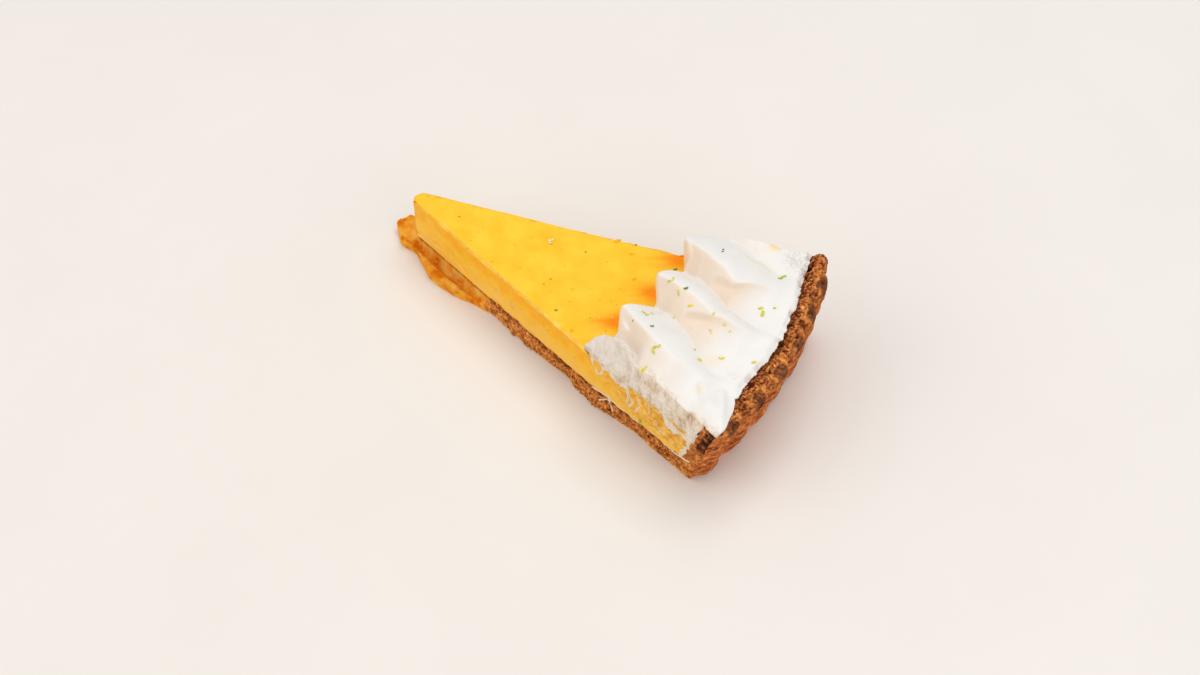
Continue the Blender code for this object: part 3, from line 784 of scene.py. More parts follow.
creamPiece = {
    "crests": (
        ((88.0, 22.0), (95.0, 20.2), (102.0, 20.0), (110.0, 21.0), (126.0, 24.0)),
        ((88.0, 12.2), (92.0, 10.5), (98.0, 8.9), (104.0, 7.4), (110.0, 5.9), (118.0, 8.0), (126.0, 10.8)),
        ((88.0, 2.6), (91.0, 1.3), (98.0, 0.5), (106.0, -0.4), (111.0, -0.9), (120.0, 0.1), (128.0, 1.4)),
        ((87.0, -6.8), (90.0, -8.3), (97.0, -9.8), (104.0, -10.4), (112.0, -10.5), (119.0, -9.8),
         (127.0, -7.6)),
        ((84.0, -14.5), (92.0, -14.8), (98.0, -15.2), (101.0, -16.0), (104.0, -19.0), (112.0, -22.0)),
        ((88.0, -26.0), (128.0, -30.0)),
    ),
    "noseRadius": (90.0, 90.6, 89.4, 88.4, 84.0, 86.0),
    "noseDepth": (1.4, 1.4, 1.4, 1.4, 13.5, 8.0),
    "noseSlope": (0.0, 0.0, 0.0, 0.0, 1.0, 0.0),
    "crestDrop": (2.0, 0.0, 0.0, 0.0, 0.4, 0.0),
    "noseRecess": (3.5, 6.5),
    "noseRound": 0.12,
    "noseLean": 0.5,
    "noseSquare": 0.5,
    "slopeSquare": 0.75,
    "noseShare": 0.3,
    "crestRound": 0.035,
    "crestHeight": ((84.0, 34.5), (91.0, 36.4), (98.0, 37.8), (105.0, 37.8), (112.0, 36.2), (119.0, 33.2),
                    (124.0, 31.3), (129.0, 30.6)),
    "valleyHeight": ((90.0, 28.0), (94.0, 29.0), (99.0, 31.2), (105.0, 32.2), (112.0, 32.0), (119.0, 31.4),
                     (124.0, 30.9), (129.0, 30.5)),
    "valleyShare": ((90.0, 0.3), (96.0, 0.3), (99.0, 0.34), (104.0, 0.4), (108.0, 0.46), (112.0, 0.56),
                    (116.0, 0.72), (121.0, 0.83), (126.0, 0.88)),
    "frontValley": ((88.0, 0.38), (100.0, 0.44), (110.0, 0.5), (126.0, 0.6)),
    "frontPetal": 3,
    "pockets": (0.0, 1.0, 1.0, 0.0, 0.0),
    "pocketStart": (102.6, 1.4),
    "pocketSlant": 9.0,
    "pocketEnd": (106.0, 14.0),
    "flankCurve": 1.2,
    "pocketCurve": 0.55,
    "bandCurve": ((90.0, 1.4), (108.0, 1.7)),
    "lobe": (127.5, -12.4, 5.0, 2.2, 2.2),
    "outer": ((-15.0, 135.0), (-13.0, 134.4), (-10.6, 132.0), (-8.6, 129.6), (-6.0, 128.2), (2.0, 127.9),
              (5.0, 127.2), (9.0, 125.9), (12.0, 124.8), (17.0, 124.4)),
    "span": (86.0, 128.0),
    "outerNoise": ((2.6, 0.5), (1.0, 0.3)),
    "pillowFrom": (-10.0, 2.0),
    "thinEdge": 0.4,
    "capClearance": -0.2,
    "cuts": ((84, 1), (99, 1), (39,)),
    "flatFrom": 103.0,
    "softening": 3,
    "noseSoftening": 14,
    "softNose": (97.0, -14.0, -8.3),
    "drawnOut": ((0.9, 0.35), (0.6, 0.2), (3.0, 0.9)),
    "tornDepth": 0.34,
    "tornAbove": (22.5, 2.0),
    "tornPaler": (92.0, 25.0),
    "folds": (1.9, 0.42),
    "foldsTo": (92.0, 14.0),
    "crumbledGrain": (1.5, 1.5),
    "crumbledFine": (0.7, 0.3),
    "ripples": (1.2, 0.025),
    "swells": (5.0, 0.08),
    "torn": ((83.0, -9.0), (88.0, -10.2), (93.0, -11.2), (97.0, -12.0), (101.0, -13.0), (105.0, -13.9),
             (109.0, -13.2), (116.0, -13.7), (122.0, -13.9), (128.0, -13.6), (132.0, -13.4)),
    "crumbled": (121.5, 14.6, 3.6, 1.9),
    "streak": ((104.0, 12.9), (108.7, 12.1), (113.0, 11.8), (117.0, 11.9)),
    "stains": ((776.0, 245.0, 2.0, 0.95), (616.5, 377.4, 0.45, 1.6), (691.0, 298.0, 1.0, 0.25),
               (700.0, 389.0, 1.3, 0.3), (712.0, 360.5, 2.2, 0.22)),
    "bubble": (733.0, 377.0, 1.1),
    "creases": (
        (33.5, 0.9, -0.4, (700.0, 383.0), (703.0, 395.0), (706.5, 405.0), (710.0, 411.0)),
        (33.0, 1.0, 0.45, (722.5, 390.0), (723.0, 405.0), (721.5, 424.0)),
        (34.0, 1.1, 0.4, (651.0, 369.0), (661.0, 381.0), (672.0, 394.0)),
        (34.0, 0.8, -0.25, (646.0, 376.0), (657.0, 389.0), (668.0, 400.0)),
    ),
    "pits": ((710.4, 333.0, 0.5), (724.6, 326.0, 0.45), (711.0, 294.0, 0.3)),
}


def petalShare(angle, distance):
    crests = creamPiece["crests"]
    for number in range(len(crests) - 1):
        first = follow(crests[number], distance)
        second = follow(crests[number + 1], distance)
        if angle >= second:
            return number, min(max((first - angle) / (first - second), 0.0), 1.0)
    return len(crests) - 2, 1.0


def towardCrest(share, valley):
    away = share / valley if share < valley else (1.0 - share) / (1.0 - valley)
    soft = creamPiece["crestRound"]
    return 1.0 - (math.hypot(away, soft) - soft) / (math.hypot(1.0, soft) - soft)


def valleyAt(number, distance):
    return follow(creamPiece["frontValley" if number == creamPiece["frontPetal"] else "valleyShare"], distance)


def noseAt(angle):
    number, share = petalShare(angle, 90.0)
    away = 1.0 - towardCrest(share, valleyAt(number, 90.0))
    tip, depth, slope = [blend(creamPiece[name][number], creamPiece[name][number + 1], ease(share))
                         for name in ("noseRadius", "noseDepth", "noseSlope")]
    straight, hollow = creamPiece["noseRecess"]
    soft = creamPiece["noseRound"]
    away = (math.hypot(away, soft) - soft) / (math.hypot(1.0, soft) - soft)
    recess = blend(straight * away, hollow * (1.0 - math.sqrt(max(1.0 - away * away, 0.0))), slope)
    return tip + recess, depth, slope


def pocketAt(number, share, valley, distance):
    if share >= valley:
        return 0.0
    start, width = creamPiece["pocketStart"]
    start += creamPiece["pocketSlant"] * max(0.6 - share / valley, 0.0) / 0.6
    return ease((distance - start) / width) * creamPiece["pockets"][number]


def creamHeight(angle, distance):
    number, share = petalShare(angle, distance)
    valley = valleyAt(number, distance)
    near = towardCrest(share, valley)
    if share < valley:
        pocket = pocketAt(number, share, valley, distance)
        lift = 1.0 - (1.0 - near) ** blend(creamPiece["flankCurve"], creamPiece["pocketCurve"], pocket)
    else:
        lift = 1.0 - (1.0 - near) ** follow(creamPiece["bandCurve"], distance)
    place, turn, wide, narrow, swell = creamPiece["lobe"]
    lobe = hump(distance, place, wide) * hump(angle, turn, narrow)
    drop = blend(creamPiece["crestDrop"][number], creamPiece["crestDrop"][number + 1], ease(share))
    top = follow(creamPiece["crestHeight"], distance) - drop
    return blend(follow(creamPiece["valleyHeight"], distance), top, lift) + swell * lobe


def creamFloor(angle, distance):
    bottom = tart["curdTop"] + tart["gap"]
    wall = innerWall(angle, tart["curdTop"]) - 1.5 * tart["gap"]
    crown = follow(tart["innerTop"], angle)
    rise = min(max((distance - wall) / (crown - wall), 0.0), 1.0)
    return blend(bottom, follow(tart["rimHeight"], angle) + creamPiece["capClearance"], rise)


def creamTop(angle, share):
    foot, depth, slope = noseAt(angle)
    bottom = tart["curdTop"] + tart["gap"]
    noseShare = creamPiece["noseShare"]
    if share < noseShare:
        turn = share / noseShare * math.pi / 2.0
        upright = depth * (1.0 - math.cos(turn) ** creamPiece["noseSquare"])
        upright -= creamPiece["noseLean"] * math.sin(2.0 * turn)
        distance = foot + blend(upright, depth * share / noseShare, slope)
        rise = math.sin(turn) ** blend(creamPiece["noseSquare"], creamPiece["slopeSquare"], slope)
        return distance, blend(bottom, creamHeight(angle, foot + depth), rise)
    along = (share - noseShare) / (1.0 - noseShare)
    outer = follow(creamPiece["outer"], angle)
    distance = blend(foot + depth, outer, along)
    broad, fine = creamPiece["outerNoise"]
    ragged = uneven(onSlice(angle, outer, 0.0), broad, 31.0) + uneven(onSlice(angle, outer, 0.0), fine, 35.0)
    pillow = 1.0 - onward(angle, creamPiece["pillowFrom"])
    distance += ragged * ease((along - 0.95) / 0.05) * (1.0 - pillow)
    flat = max((along - 0.96) / 0.04, 0.0) ** 2
    rolled = max((along - 0.91) / 0.09, 0.0) ** 1.3
    drop = blend(flat, rolled, pillow)
    low = creamFloor(angle, distance) + creamPiece["thinEdge"]
    return distance, blend(max(creamHeight(angle, distance), low), low, drop)


def creamPoint(u, v, w):
    angle = cutAngle(v, blend(*creamPiece["span"], u))
    distance, height = creamTop(angle, u)
    foot, depth = noseAt(angle)[:2]
    noseShare = creamPiece["noseShare"]
    under = foot + depth * u / noseShare if u < noseShare else distance
    low = creamFloor(angle, under)
    height = max(height, low + creamPiece["thinEdge"] * min(u / 0.05, 1.0))
    return onSlice(angle, blend(under, distance, w), blend(low, height, w))


def streaky(point):  # the torn cream's drawn-out crumb
    drawn = Vector((point.x, point.y, point.z * 0.35))
    middling, fine, broad = creamPiece["drawnOut"]
    return uneven(drawn, middling, 3.0) + uneven(point, fine, 14.0) + uneven(drawn, broad, 9.0)


def awayFromLine(point, line):
    best = 1e9
    for start, end in zip(line, line[1:]):
        span, offset = Vector(end) - Vector(start), point - Vector(start)
        along = min(max(offset.dot(span) / span.length_squared, 0.0), 1.0)
        best = min(best, (offset - span * along).length)
    return best


creases = [([seenAt(x, y, height).to_2d() / mm for x, y in line], width, lift)
           for height, width, lift, *line in creamPiece["creases"]]


def creamDetail(point, normal, onCut, onTop):  # lift, torn, painted flank shade, and stain with painted crease shade, of a point of the skin
    distance, angle, height = polar(point)
    limit = follow(creamPiece["torn"], distance) + lumps(point, 2.4, 5.0) * 0.35
    torn = 1.0 if onCut else 0.75 * ease((limit - angle) / 0.8) * onward(height, creamPiece["tornAbove"])
    fold = Vector((point.x - 0.6 * point.z, point.y, point.x * 0.3 + point.z * 0.3))
    folded = uneven(fold, creamPiece["folds"], 81.0) * (1.0 - onward(distance, creamPiece["foldsTo"]))
    lift = (streaky(point) * creamPiece["tornDepth"] + folded) * torn
    place, turn, wide, narrow = creamPiece["crumbled"]
    crumbled = hump(distance, place, wide) * hump(angle, turn, narrow)
    size, high = creamPiece["crumbledGrain"]
    lift += crumbled * (grains(point, size, 4.0) * high + uneven(point, creamPiece["crumbledFine"], 2.0) - 0.3)
    number, share = petalShare(angle, distance)
    pocket = pocketAt(number, share, valleyAt(number, distance), distance)
    pocket *= 1.0 - onward(distance, creamPiece["pocketEnd"])
    # painted shade with warm reflected light on faces turned toward -y and in the pockets
    flankShade = ease(-normal.y * 1.25 - 0.02) * (0.4 if onCut else 0.9) + pocket * 0.6
    # painted shade along the crease of the streak, orange-beige
    stainAndCreaseShade = 0.3 * hump(angle, follow(creamPiece["streak"], distance), 0.4) * hump(distance, 111.0, 6.0)
    if onTop:
        x, y, radius = creamPiece["bubble"]
        away = awayFrom(point, x, y, height)
        lift += 0.3 * hump(away, radius, 0.28) - 0.35 * hump(away, 0.0, 0.7)
        lift += uneven(point, creamPiece["ripples"], 40.0) + uneven(point, creamPiece["swells"], 44.0)
        flat = point.to_2d() / mm
        lift += sum(high * hump(awayFromLine(flat, line), 0.0, width) for line, width, high in creases)
        for x, y, radius in creamPiece["pits"]:
            lift -= 0.35 * hump(awayFrom(point, x, y, height), 0.0, radius)
    for x, y, radius, strength in creamPiece["stains"]:
        stainAndCreaseShade += strength * hump(awayFrom(point, x, y, height), 0.0, radius)
    flankShade *= 1.0 - 0.65 * torn
    torn *= 0.3 + 0.72 * onward(distance, creamPiece["tornPaler"])
    return lift, torn + 0.08 * crumbled, flankShade, stainAndCreaseShade


def creamMaterial():
    finish, tree, shader = newMaterial("pipedCream", 0.45, Specular_IOR_Level=0.35, Subsurface_Weight=0.12,
                                       Subsurface_Radius=(2.0, 1.4, 1.0))
    soft = ramp(tree, noiseNode(tree, 7.0, 3.0), ((0.35, (0.855, 0.835, 0.81)), (0.65, (0.88, 0.865, 0.84))))
    # painted shade with warm reflected light: beige on the petals' front flanks and in the pockets
    flankShade = ramp(tree, noiseNode(tree, 5.0, 3.0), ((0.35, (0.85, 0.69, 0.545)), (0.65, (0.87, 0.735, 0.605))))
    colour = mixColour(tree, attribute(tree, "flankShade"), soft, flankShade)
    porous = noiseNode(tree, 0.75, 6.0, 0.72, stretch=(1.0, 1.0, 0.45))
    broad = noiseNode(tree, 3.2, 3.0, stretch=(1.0, 1.0, 0.4))
    mixed = maths(tree, "ADD", maths(tree, "MULTIPLY", porous, 0.5), maths(tree, "MULTIPLY", broad, 0.5))
    # the torn cream's colour, with painted shade in its pores and painted highlight on its crumbs
    rough = ramp(tree, mixed, ((0.38, (0.48, 0.31, 0.18)), (0.45, (0.72, 0.54, 0.38)),
                               (0.53, (0.90, 0.77, 0.62)), (0.61, (0.95, 0.89, 0.81))))
    colour = mixColour(tree, attribute(tree, "torn"), colour, rough)
    # stains, and the painted crease shade of the streak, orange
    colour = mixColour(tree, attribute(tree, "stainAndCreaseShade"), colour, (0.93, 0.62, 0.16))
    tree.links.new(colour, shader.inputs["Base Color"])
    height = maths(tree, "MULTIPLY", porous, attribute(tree, "torn"))
    bump(tree, shader, height, 0.5, 0.8)
    return finish


print("cream")
cream = addBlock("cream", creamPiece["cuts"])
onCuts, onTops = [], []
for vertex in cream.data.vertices:
    u, v, w = vertex.co
    onCuts.append((v < 0.001 or v > 0.999) and w < 0.999)
    onTops.append(w > 0.999)
    vertex.co = creamPoint(u, v, w)
# The piped folds are soft, most of all between the last two noses.
for rounds in (creamPiece["softening"], creamPiece["noseSoftening"]):
    grid = startEdit(cream, "VERT")
    reach, low, high = creamPiece["softNose"]
    for vertex, onTop in zip(grid.verts, onTops):
        distance, angle, height = polar(vertex.co)
        near = rounds == creamPiece["softening"] or (distance < reach and low < angle < high)
        inside = min(behindCut(distance, angle)) > 0.6 and height > creamPiece["tornAbove"][0]
        vertex.select = onTop and near and inside
    grid.select_flush_mode()
    bpy.ops.mesh.vertices_smooth(factor=0.5, repeat=rounds)
    endEdit()
cream.data.update()
normals = [vertex.normal.copy() for vertex in cream.data.vertices]
creamLooks = {name: [] for name in ("torn", "flankShade", "stainAndCreaseShade")}
bottom = (tart["curdTop"] + tart["gap"] + 0.05) * mm
for vertex, normal, onCut, onTop in zip(cream.data.vertices, normals, onCuts, onTops):
    lift, *values = creamDetail(vertex.co, normal, onCut, onTop)
    if (onCut or onTop) and vertex.co.z > bottom:
        vertex.co += normal * lift * mm
    for name, value in zip(creamLooks, values):
        creamLooks[name].append(value)
paintAll(cream, creamLooks)
dissolveUnder(cream, lambda angle, distance: tart["curdTop"] + tart["gap"], creamPiece["flatFrom"])
mergeCorners(cream)
cream.data.materials.append(creamMaterial())
smooth(cream, 50)
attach(cream, "root")
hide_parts("piped_cream")
print("cream faces", len(cream.data.polygons))
skins = [skinOf(piece) for piece in (cream, curd, crust)]


def meet(start, away):  # the first place where a line meets the slice
    hits = [skin.ray_cast(start, away) for skin in skins]
    hits = [hit for hit in hits if hit[0] is not None]
    return min(hits, key=lambda hit: hit[3]) if hits else None


# Cream dragged by the knife down the front cut: distance from the tip and height, in millimetres.
smearPiece = {
    "reach": (84.0, 128.5, 1.5, 24.5),
    "grid": (176, 92),
    "edge": ((83.5, 21.6), (86.6, 21.0), (91.7, 20.5), (93.8, 20.6), (96.1, 19.4), (99.2, 19.0), (101.9, 21.4),
             (105.9, 21.6), (108.9, 21.0), (112.5, 21.4), (114.2, 20.9), (116.5, 17.6), (119.2, 17.3),
             (121.7, 19.2), (124.0, 18.6), (124.6, 13.0), (126.5, 9.5)),
    "edgeNoise": (1.3, 0.55),
    "wallAngle": -14.5,
    "wallStrip": (8.8, 0.35, 0.75),
    "fadeAbove": 24.2,
    "faintest": -0.4,
    "step": 0.05,
    "castFrom": 6.0,
    "deepestFall": 3.0,
    "bridged": 2.0,
    "slot": ((116.8, 21.4), (120.5, 20.9), (123.4, 20.4)),
    "slotWidth": 0.45,
    "strings": (
        (0.33, (86.6, 21.4), (87.9, 18.0), (89.2, 16.0), (90.6, 16.9), (91.7, 20.6)),
        (0.3, (100.9, 20.4), (101.2, 15.9), (100.5, 13.3), (101.9, 13.0), (102.9, 15.3), (102.2, 17.6),
         (101.5, 21.0)),
        (0.28, (105.2, 21.6), (106.2, 19.3), (105.9, 16.7), (104.6, 13.6)),
        (0.3, (87.0, 8.0), (91.2, 8.4), (93.3, 9.6)),
        (0.42, (93.3, 9.6), (93.7, 6.4), (94.3, 3.2)),
        (0.26, (89.4, 4.2), (91.6, 5.8), (93.5, 7.6)),
        (0.24, (94.2, 8.6), (97.5, 8.2), (100.6, 8.3), (104.0, 8.5), (107.9, 8.4), (111.0, 8.2)),
        (0.3, (111.0, 8.2), (114.4, 7.7), (117.5, 8.2), (121.0, 8.6), (124.6, 9.4)),
        (0.22, (109.2, 20.8), (109.8, 18.6), (109.3, 16.8)),
        (0.2, (112.4, 15.0), (113.6, 13.2), (113.1, 11.6)),
    ),
    "thickness": (0.03, 0.2),
    "body": 0.25,
    "deepest": 0.25,
}


def smearMask(distance, height):  # millimetres inside the smeared cream, negative outside it
    point = Vector((distance, height))
    ragged = uneven(Vector((distance, 0.0, height * 0.6)) * mm, smearPiece["edgeNoise"], 50.0)
    mask = height - follow(smearPiece["edge"], distance) + ragged
    wall = innerWall(smearPiece["wallAngle"], height)
    low, beside, wide = smearPiece["wallStrip"]
    mask = min(mask, awayFromLine(point, smearPiece["slot"]) - smearPiece["slotWidth"],
               wall + beside + 0.9 * ragged - distance, (smearPiece["fadeAbove"] - height + ragged) * 0.3)
    if height > low:  # a strip of cream left along the wall
        mask = max(mask, wide + 0.9 * ragged - abs(wall - beside - distance))
    for width, *line in smearPiece["strings"]:
        mask = max(mask, width * (1.0 + 0.5 * ragged) - awayFromLine(point, line))
    return mask


def smearPoint(distance, height, mask):
    angle = follow(tart["frontCut"], distance)
    turn = math.radians(angle)
    outward = Vector((math.sin(turn), -math.cos(turn), 0.0))
    start = onSlice(angle, distance, height)
    hit = meet(start + outward * smearPiece["castFrom"] * mm, -outward)
    sunk = hit[3] / mm - smearPiece["castFrom"] if hit else 99.0
    beside = abs(innerWall(smearPiece["wallAngle"], height) - distance)
    if beside < smearPiece["bridged"]:  # it bridges the slit by the wall
        sunk = min(sunk, smearPiece["deepest"])
    elif sunk > smearPiece["deepestFall"]:
        return None
    low, high = smearPiece["thickness"]
    high += 0.3 * streaky(start)
    return start + outward * (blend(low, high, min(max(mask, 0.0) / 0.3, 1.0)) - sunk) * mm


print("smears")
deselectAll()
bpy.ops.mesh.primitive_grid_add(x_subdivisions=smearPiece["grid"][0], y_subdivisions=smearPiece["grid"][1],
                                size=1.0, location=(0.0, 0.0, 0.0))
smears = nameBoth(bpy.context.object, "smears")
near, far, low, high = smearPiece["reach"]
faintest, step = smearPiece["faintest"], smearPiece["step"]
masks, placed = [], []
for vertex in smears.data.vertices:
    distance, height = blend(near, far, vertex.co.x + 0.5), blend(low, high, vertex.co.y + 0.5)
    mask = smearMask(distance, height)
    if faintest < mask < 0.0:  # edge vertices slide onto the outline
        slopeX = (smearMask(distance + step, height) - mask) / step
        slopeY = (smearMask(distance, height + step) - mask) / step
        steep = max(slopeX ** 2 + slopeY ** 2, 0.5)
        distance -= mask * slopeX / steep
        height -= mask * slopeY / steep
    point = smearPoint(distance, height, mask) if mask > faintest else None
    masks.append(mask if point is not None else -1.0)
    placed.append(point)
grid = startEdit(smears, "FACE")
grid.verts.ensure_lookup_table()
for face in grid.faces:
    values = [masks[corner.index] for corner in face.verts]
    missing = any(placed[corner.index] is None for corner in face.verts)
    if max(values) <= 0.0 or min(values) < faintest or missing:
        face.select_set(True)
for vertex, point in zip(grid.verts, placed):
    if point is not None:
        vertex.co = point
bmesh.update_edit_mesh(smears.data)
bpy.ops.mesh.delete(type="FACE")
endEdit()
body = smears.modifiers.new("body", "SOLIDIFY")
body.thickness = smearPiece["body"] * mm
body.offset = -1.0
applyAll(smears)
places = [polar(vertex.co) for vertex in smears.data.vertices]
thin = [ease((follow(smearPiece["edge"], distance) - height - 0.3) / 1.5)
        for distance, angle, height in places]
# the smears carry half the painted flank shade
paintAll(smears, {"torn": [0.7 - 0.3 * share for share in thin], "flankShade": [0.5] * len(thin),
                  "stainAndCreaseShade": [0.06 + 0.22 * share for share in thin]})
smears.data.materials.append(cream.data.materials[0])
smooth(smears, 60)
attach(smears, "root")
print("smear faces", len(smears.data.polygons))


# Zest: where the photograph shows it, heading across the frame, length, width, curl in degrees and tint.
zestPiece = {
    "shreds": (
        (670.5, 280.5, 20.0, 1.9, 0.42, 30.0, 0.45), (673.3, 278.6, 75.0, 1.2, 0.4, 20.0, 0.4),
        (686.0, 288.2, 15.0, 1.25, 0.6, 60.0, 0.95), (678.2, 292.8, 100.0, 1.8, 0.4, 50.0, 0.5),
        (690.6, 305.4, 10.0, 1.7, 0.5, 25.0, 0.25), (674.2, 317.6, 80.0, 0.9, 0.4, 20.0, 0.1),
        (644.0, 312.6, -35.0, 2.1, 0.42, 35.0, 0.5), (647.2, 315.0, 5.0, 1.2, 0.35, 20.0, 0.55),
        (652.2, 313.8, -20.0, 1.1, 0.35, 20.0, 0.45), (651.7, 325.7, 10.0, 1.5, 0.42, 170.0, 0.95),
        (656.3, 350.0, 250.0, 3.4, 0.6, 190.0, 0.5), (658.8, 346.2, 40.0, 1.3, 0.4, 20.0, 0.4),
        (643.0, 370.4, 32.0, 2.0, 0.42, 15.0, 0.3), (644.8, 368.0, 32.0, 1.9, 0.42, 15.0, 0.35),
        (780.4, 278.3, 12.0, 1.7, 0.62, 30.0, 0.75), (784.0, 276.4, 15.0, 1.3, 0.5, 20.0, 0.7),
        (760.6, 308.2, 10.0, 1.4, 0.7, 20.0, 0.45), (762.4, 313.8, 70.0, 1.9, 0.8, 25.0, 0.5),
        (774.5, 308.0, 0.0, 0.8, 0.45, 10.0, 0.5), (699.4, 359.8, -8.0, 1.7, 0.7, 30.0, 0.4),
        (721.7, 358.2, 5.0, 1.5, 0.6, 30.0, 0.4), (753.8, 362.3, 20.0, 1.3, 0.6, 20.0, 0.4),
        (694.6, 349.8, 90.0, 0.8, 0.4, 10.0, 0.55), (713.6, 313.5, 60.0, 1.1, 0.4, 20.0, 0.35),
        (710.4, 331.6, 100.0, 1.2, 0.45, 10.0, 0.0), (724.3, 325.0, 110.0, 1.4, 0.5, 10.0, 0.05),
        (675.3, 269.6, 20.0, 1.2, 0.5, 20.0, 0.95), (723.2, 249.8, 30.0, 0.6, 0.35, 10.0, 1.0),
        (722.6, 251.8, 10.0, 0.5, 0.3, 10.0, 1.0), (778.3, 242.4, -60.0, 1.0, 0.4, 20.0, 1.0),
        (586.8, 350.6, -52.0, 2.3, 0.5, 15.0, 1.0), (633.0, 320.7, 0.0, 0.4, 0.3, 5.0, 0.9),
        (640.5, 421.2, 70.0, 1.3, 0.8, 10.0, 0.85), (729.5, 331.5, 30.0, 0.9, 0.3, 10.0, 0.05),
    ),
    "grown": (1.1, 1.15),
    "thickness": 0.3,
    "ripple": 0.08,
    "raised": 0.1,
    "cuts": ((11,), (3,), (3,)),
}


def addShred(number, x, y, heading, length, width, curl):
    start, away = sightLine(x, y)
    hit = meet(start, away)
    if hit is None:
        return None
    place, normal = hit[:2]
    turn = math.radians(heading)
    across = cameraTurn @ Vector((math.cos(turn), math.sin(turn), 0.0))
    along = normal.cross(away.cross(across)).normalized()
    along = along if along.dot(across) > 0.0 else -along
    beside = normal.cross(along)
    arc = math.radians(curl)
    shred = addBlock("shred%02d" % number, zestPiece["cuts"])
    for vertex in shred.data.vertices:
        u, v, w = vertex.co.x - 0.5, vertex.co.y * 2.0 - 1.0, vertex.co.z * 2.0 - 1.0
        v, w = v * math.sqrt(1.0 - w * w / 2.0), w * math.sqrt(1.0 - v * v / 2.0)
        taper = max(1.0 - (2.0 * u) ** 4, 0.0) ** 0.5 * 0.85 + 0.15
        ahead = math.sin(u * arc) / arc * length
        bend = (1.0 - math.cos(u * arc)) / arc * length - 0.15 * arc * length * 0.5
        ripple = zestPiece["ripple"] * math.sin(u * 17.0 + number)
        vertex.co = place + (along * ahead + beside * (bend + v * width * 0.5 * taper + ripple)
                             + normal * (w * zestPiece["thickness"] * 0.5 * taper + zestPiece["raised"])) * mm
    return shred


def zestMaterial():
    finish, tree, shader = newMaterial("lemonZest", 0.45, Specular_IOR_Level=0.35, Subsurface_Weight=0.1,
                                       Subsurface_Scale=0.5 * mm)
    tint = ramp(tree, attribute(tree, "tint"),
                ((0.0, (0.95, 0.82, 0.42)), (0.25, (0.93, 0.76, 0.05)), (0.45, (0.78, 0.74, 0.05)),
                 (0.6, (0.60, 0.64, 0.04)), (0.78, (0.36, 0.55, 0.03)), (1.0, (0.12, 0.17, 0.03))))
    patch = ramp(tree, noiseNode(tree, 0.7, 4.0), ((0.35, (0.7, 0.72, 0.6)), (0.65, (1.15, 1.1, 1.0))))
    tree.links.new(mixColour(tree, 1.0, tint, patch, "MULTIPLY"), shader.inputs["Base Color"])
    bump(tree, shader, noiseNode(tree, 0.3, 3.0), 0.1, 0.6)
    return finish


print("zest")
shreds, tints = [], []
longer, wider = zestPiece["grown"]
for number, (x, y, heading, length, width, curl, tint) in enumerate(zestPiece["shreds"]):
    shred = addShred(number, x, y, heading, length * longer, width * wider, curl)
    if shred:
        shreds.append(shred)
        tints += [tint] * len(shred.data.vertices)
zest = joinAll(shreds, "zest")
paint(zest, "tint", tints)
zest.data.materials.append(zestMaterial())
smooth(zest, 60)
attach(zest, "root")


# Bits in the curd: place in the photograph, radius and tint.
bitPiece = {
    "bits": (
        (549.6, 241.6, 0.75, 0.1), (552.4, 239.6, 0.6, 0.1), (551.0, 243.8, 0.4, 0.35),
        (459.4, 216.6, 0.3, 1.0), (550.7, 279.0, 0.3, 0.95), (543.9, 283.9, 0.25, 0.9),
        (556.0, 310.2, 0.45, 1.0), (634.2, 279.0, 0.55, 0.3), (571.9, 330.7, 0.6, 0.35),
        (636.0, 245.0, 0.4, 1.0), (640.5, 245.5, 0.45, 0.6), (617.5, 241.0, 0.8, 0.25),
        (631.5, 254.0, 0.55, 0.3), (585.7, 252.0, 0.4, 0.9), (572.0, 289.5, 0.35, 0.4),
        (562.0, 249.5, 0.25, 0.5), (492.0, 262.0, 0.2, 0.8), (520.0, 268.0, 0.22, 0.7),
        (600.0, 300.0, 0.22, 0.8), (541.0, 235.0, 0.2, 0.6), (607.0, 262.0, 0.2, 0.8),
        (478.0, 232.0, 0.2, 0.7), (590.0, 318.0, 0.25, 0.6), (528.0, 300.0, 0.2, 0.8),
        (565.0, 266.0, 0.2, 0.5), (447.0, 205.0, 0.2, 0.5), (470.5, 240.5, 0.3, 0.4),
        (515.0, 245.0, 0.2, 0.9), (606.0, 331.0, 0.3, 0.4), (548.0, 330.0, 0.25, 0.9),
        (520.5, 309.0, 0.2, 0.9), (496.0, 290.0, 0.25, 0.8), (575.0, 357.0, 0.25, 0.8),
        (460.0, 262.0, 0.2, 0.8), (534.0, 325.0, 0.2, 0.7),
    ),
    "flatness": 0.35,
    "uneven": 0.25,
    "seed": 5,
}


def bitMaterial():
    finish, tree, shader = newMaterial("curdBits", 0.45, Specular_IOR_Level=0.3)
    tint = ramp(tree, attribute(tree, "tint"), ((0.1, (1.0, 0.78, 0.28)), (0.25, (0.97, 0.47, 0.005)),
                                                (0.4, (0.88, 0.52, 0.01)), (0.6, (0.72, 0.48, 0.02)),
                                                (0.9, (0.55, 0.32, 0.02)), (1.0, (0.33, 0.25, 0.04))))
    patch = ramp(tree, noiseNode(tree, 0.5, 3.0), ((0.35, (0.8, 0.8, 0.8)), (0.65, (1.1, 1.1, 1.0))))
    tree.links.new(mixColour(tree, 1.0, tint, patch, "MULTIPLY"), shader.inputs["Base Color"])
    return finish


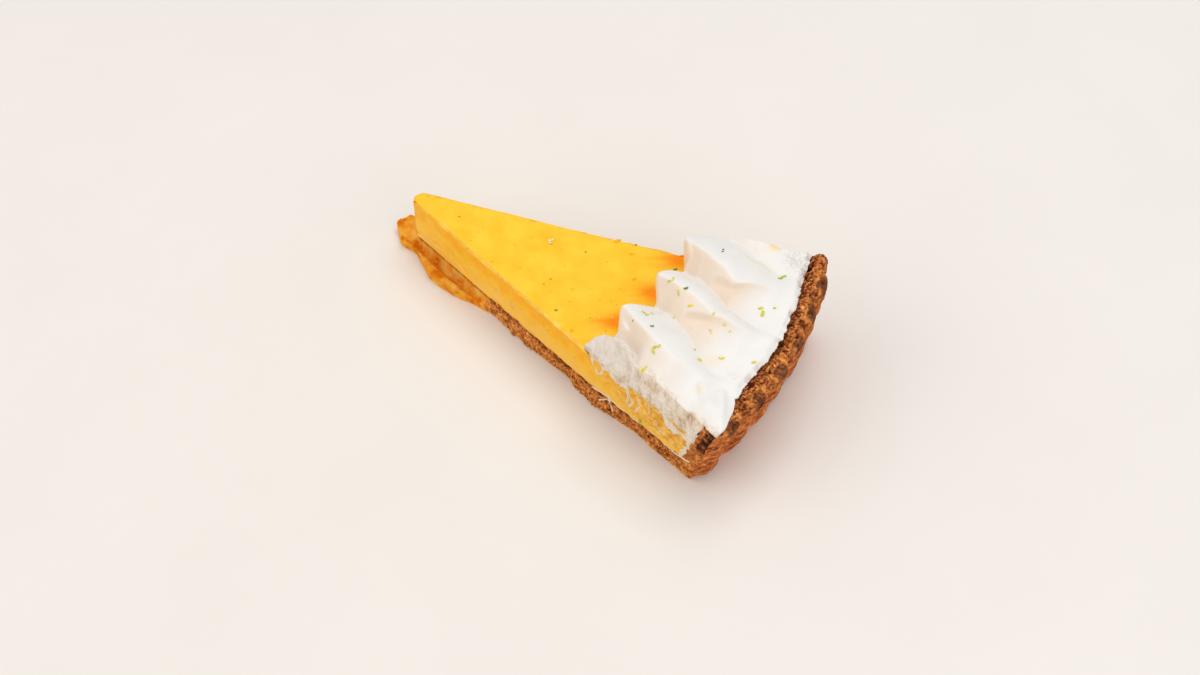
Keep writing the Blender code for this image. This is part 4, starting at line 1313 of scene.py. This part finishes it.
print("bits")
draw = random.Random(bitPiece["seed"])
bitList, bitTints = [], []
for x, y, radius, tint in bitPiece["bits"]:
    hit = meet(*sightLine(x, y))
    if hit is None:
        continue
    deselectAll()
    bpy.ops.mesh.primitive_ico_sphere_add(subdivisions=2, radius=radius * mm, location=(0.0, 0.0, 0.0))
    bit = bpy.context.object
    turn = hit[1].to_track_quat("Z", "Y")
    long = draw.uniform(1.0, 1.5)
    spin = draw.uniform(0.0, math.pi)
    for vertex in bit.data.vertices:
        swell = noise.noise(vertex.co / (radius * mm) * 1.3 + Vector((x, y, 0.0)))
        vertex.co *= 1.0 + bitPiece["uneven"] * swell
        flat = Vector((vertex.co.x * long, vertex.co.y / long, vertex.co.z * bitPiece["flatness"]))
        flat = Vector((flat.x * math.cos(spin) - flat.y * math.sin(spin),
                       flat.x * math.sin(spin) + flat.y * math.cos(spin), flat.z))
        vertex.co = hit[0] + turn @ flat
    bitList.append(bit)
    bitTints += [tint] * len(bit.data.vertices)
bits = joinAll(bitList, "bits")
paint(bits, "tint", bitTints)
bits.data.materials.append(bitMaterial())
smooth(bits, 60)
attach(bits, "root")


# Each light: name, place, size, power and colour. All point at the aim.
studio = {
    "tableSize": 3.0,
    "table": ((0.85, 0.816, 0.774), (0.87, 0.836, 0.794)),
    "sky": (1.0, 0.985, 0.965),
    "skyStrength": 0.56,
    "aim": (0.03, 0.0, 0.0),
    "lights": (
        ("windowTop", (0.08, 0.3, 1.05), 0.7, 3.75, (1.0, 1.0, 1.0)),
        ("warmFront", (-0.6, -0.65, 0.6), 1.0, 3.4, (1.0, 0.94, 0.87)),
        ("softRight", (0.85, -0.25, 0.65), 0.8, 2.3, (1.0, 0.99, 0.97)),
    ),
}

print("table and lights")
deselectAll()
bpy.ops.mesh.primitive_plane_add(size=studio["tableSize"], location=(0.0, 0.0, 0.0))
table = bpy.context.object
table.name = "table"
tableFinish, tableTree, tableShader = newMaterial("paleTable", 0.6, Specular_IOR_Level=0.2)
tableColour = ramp(tableTree, noiseNode(tableTree, 60.0), tuple(zip((0.3, 0.7), studio["table"])))
tableTree.links.new(tableColour, tableShader.inputs["Base Color"])
table.data.materials.append(tableFinish)

world = bpy.data.worlds.new("studio")
bpy.context.scene.world = world
world.use_nodes = True
sky = world.node_tree.nodes["Background"]
sky.inputs["Color"].default_value = (*studio["sky"], 1.0)
sky.inputs["Strength"].default_value = studio["skyStrength"]
for name, place, size, power, colour in studio["lights"]:
    bpy.ops.object.light_add(type="AREA", location=place)
    light = bpy.context.object
    light.name = name
    light.data.size = size
    light.data.energy = power
    light.data.color = colour
    light.rotation_euler = (Vector(studio["aim"]) - Vector(place)).to_track_quat("-Z", "Y").to_euler()
bpy.context.scene.view_settings.view_transform = "Standard"
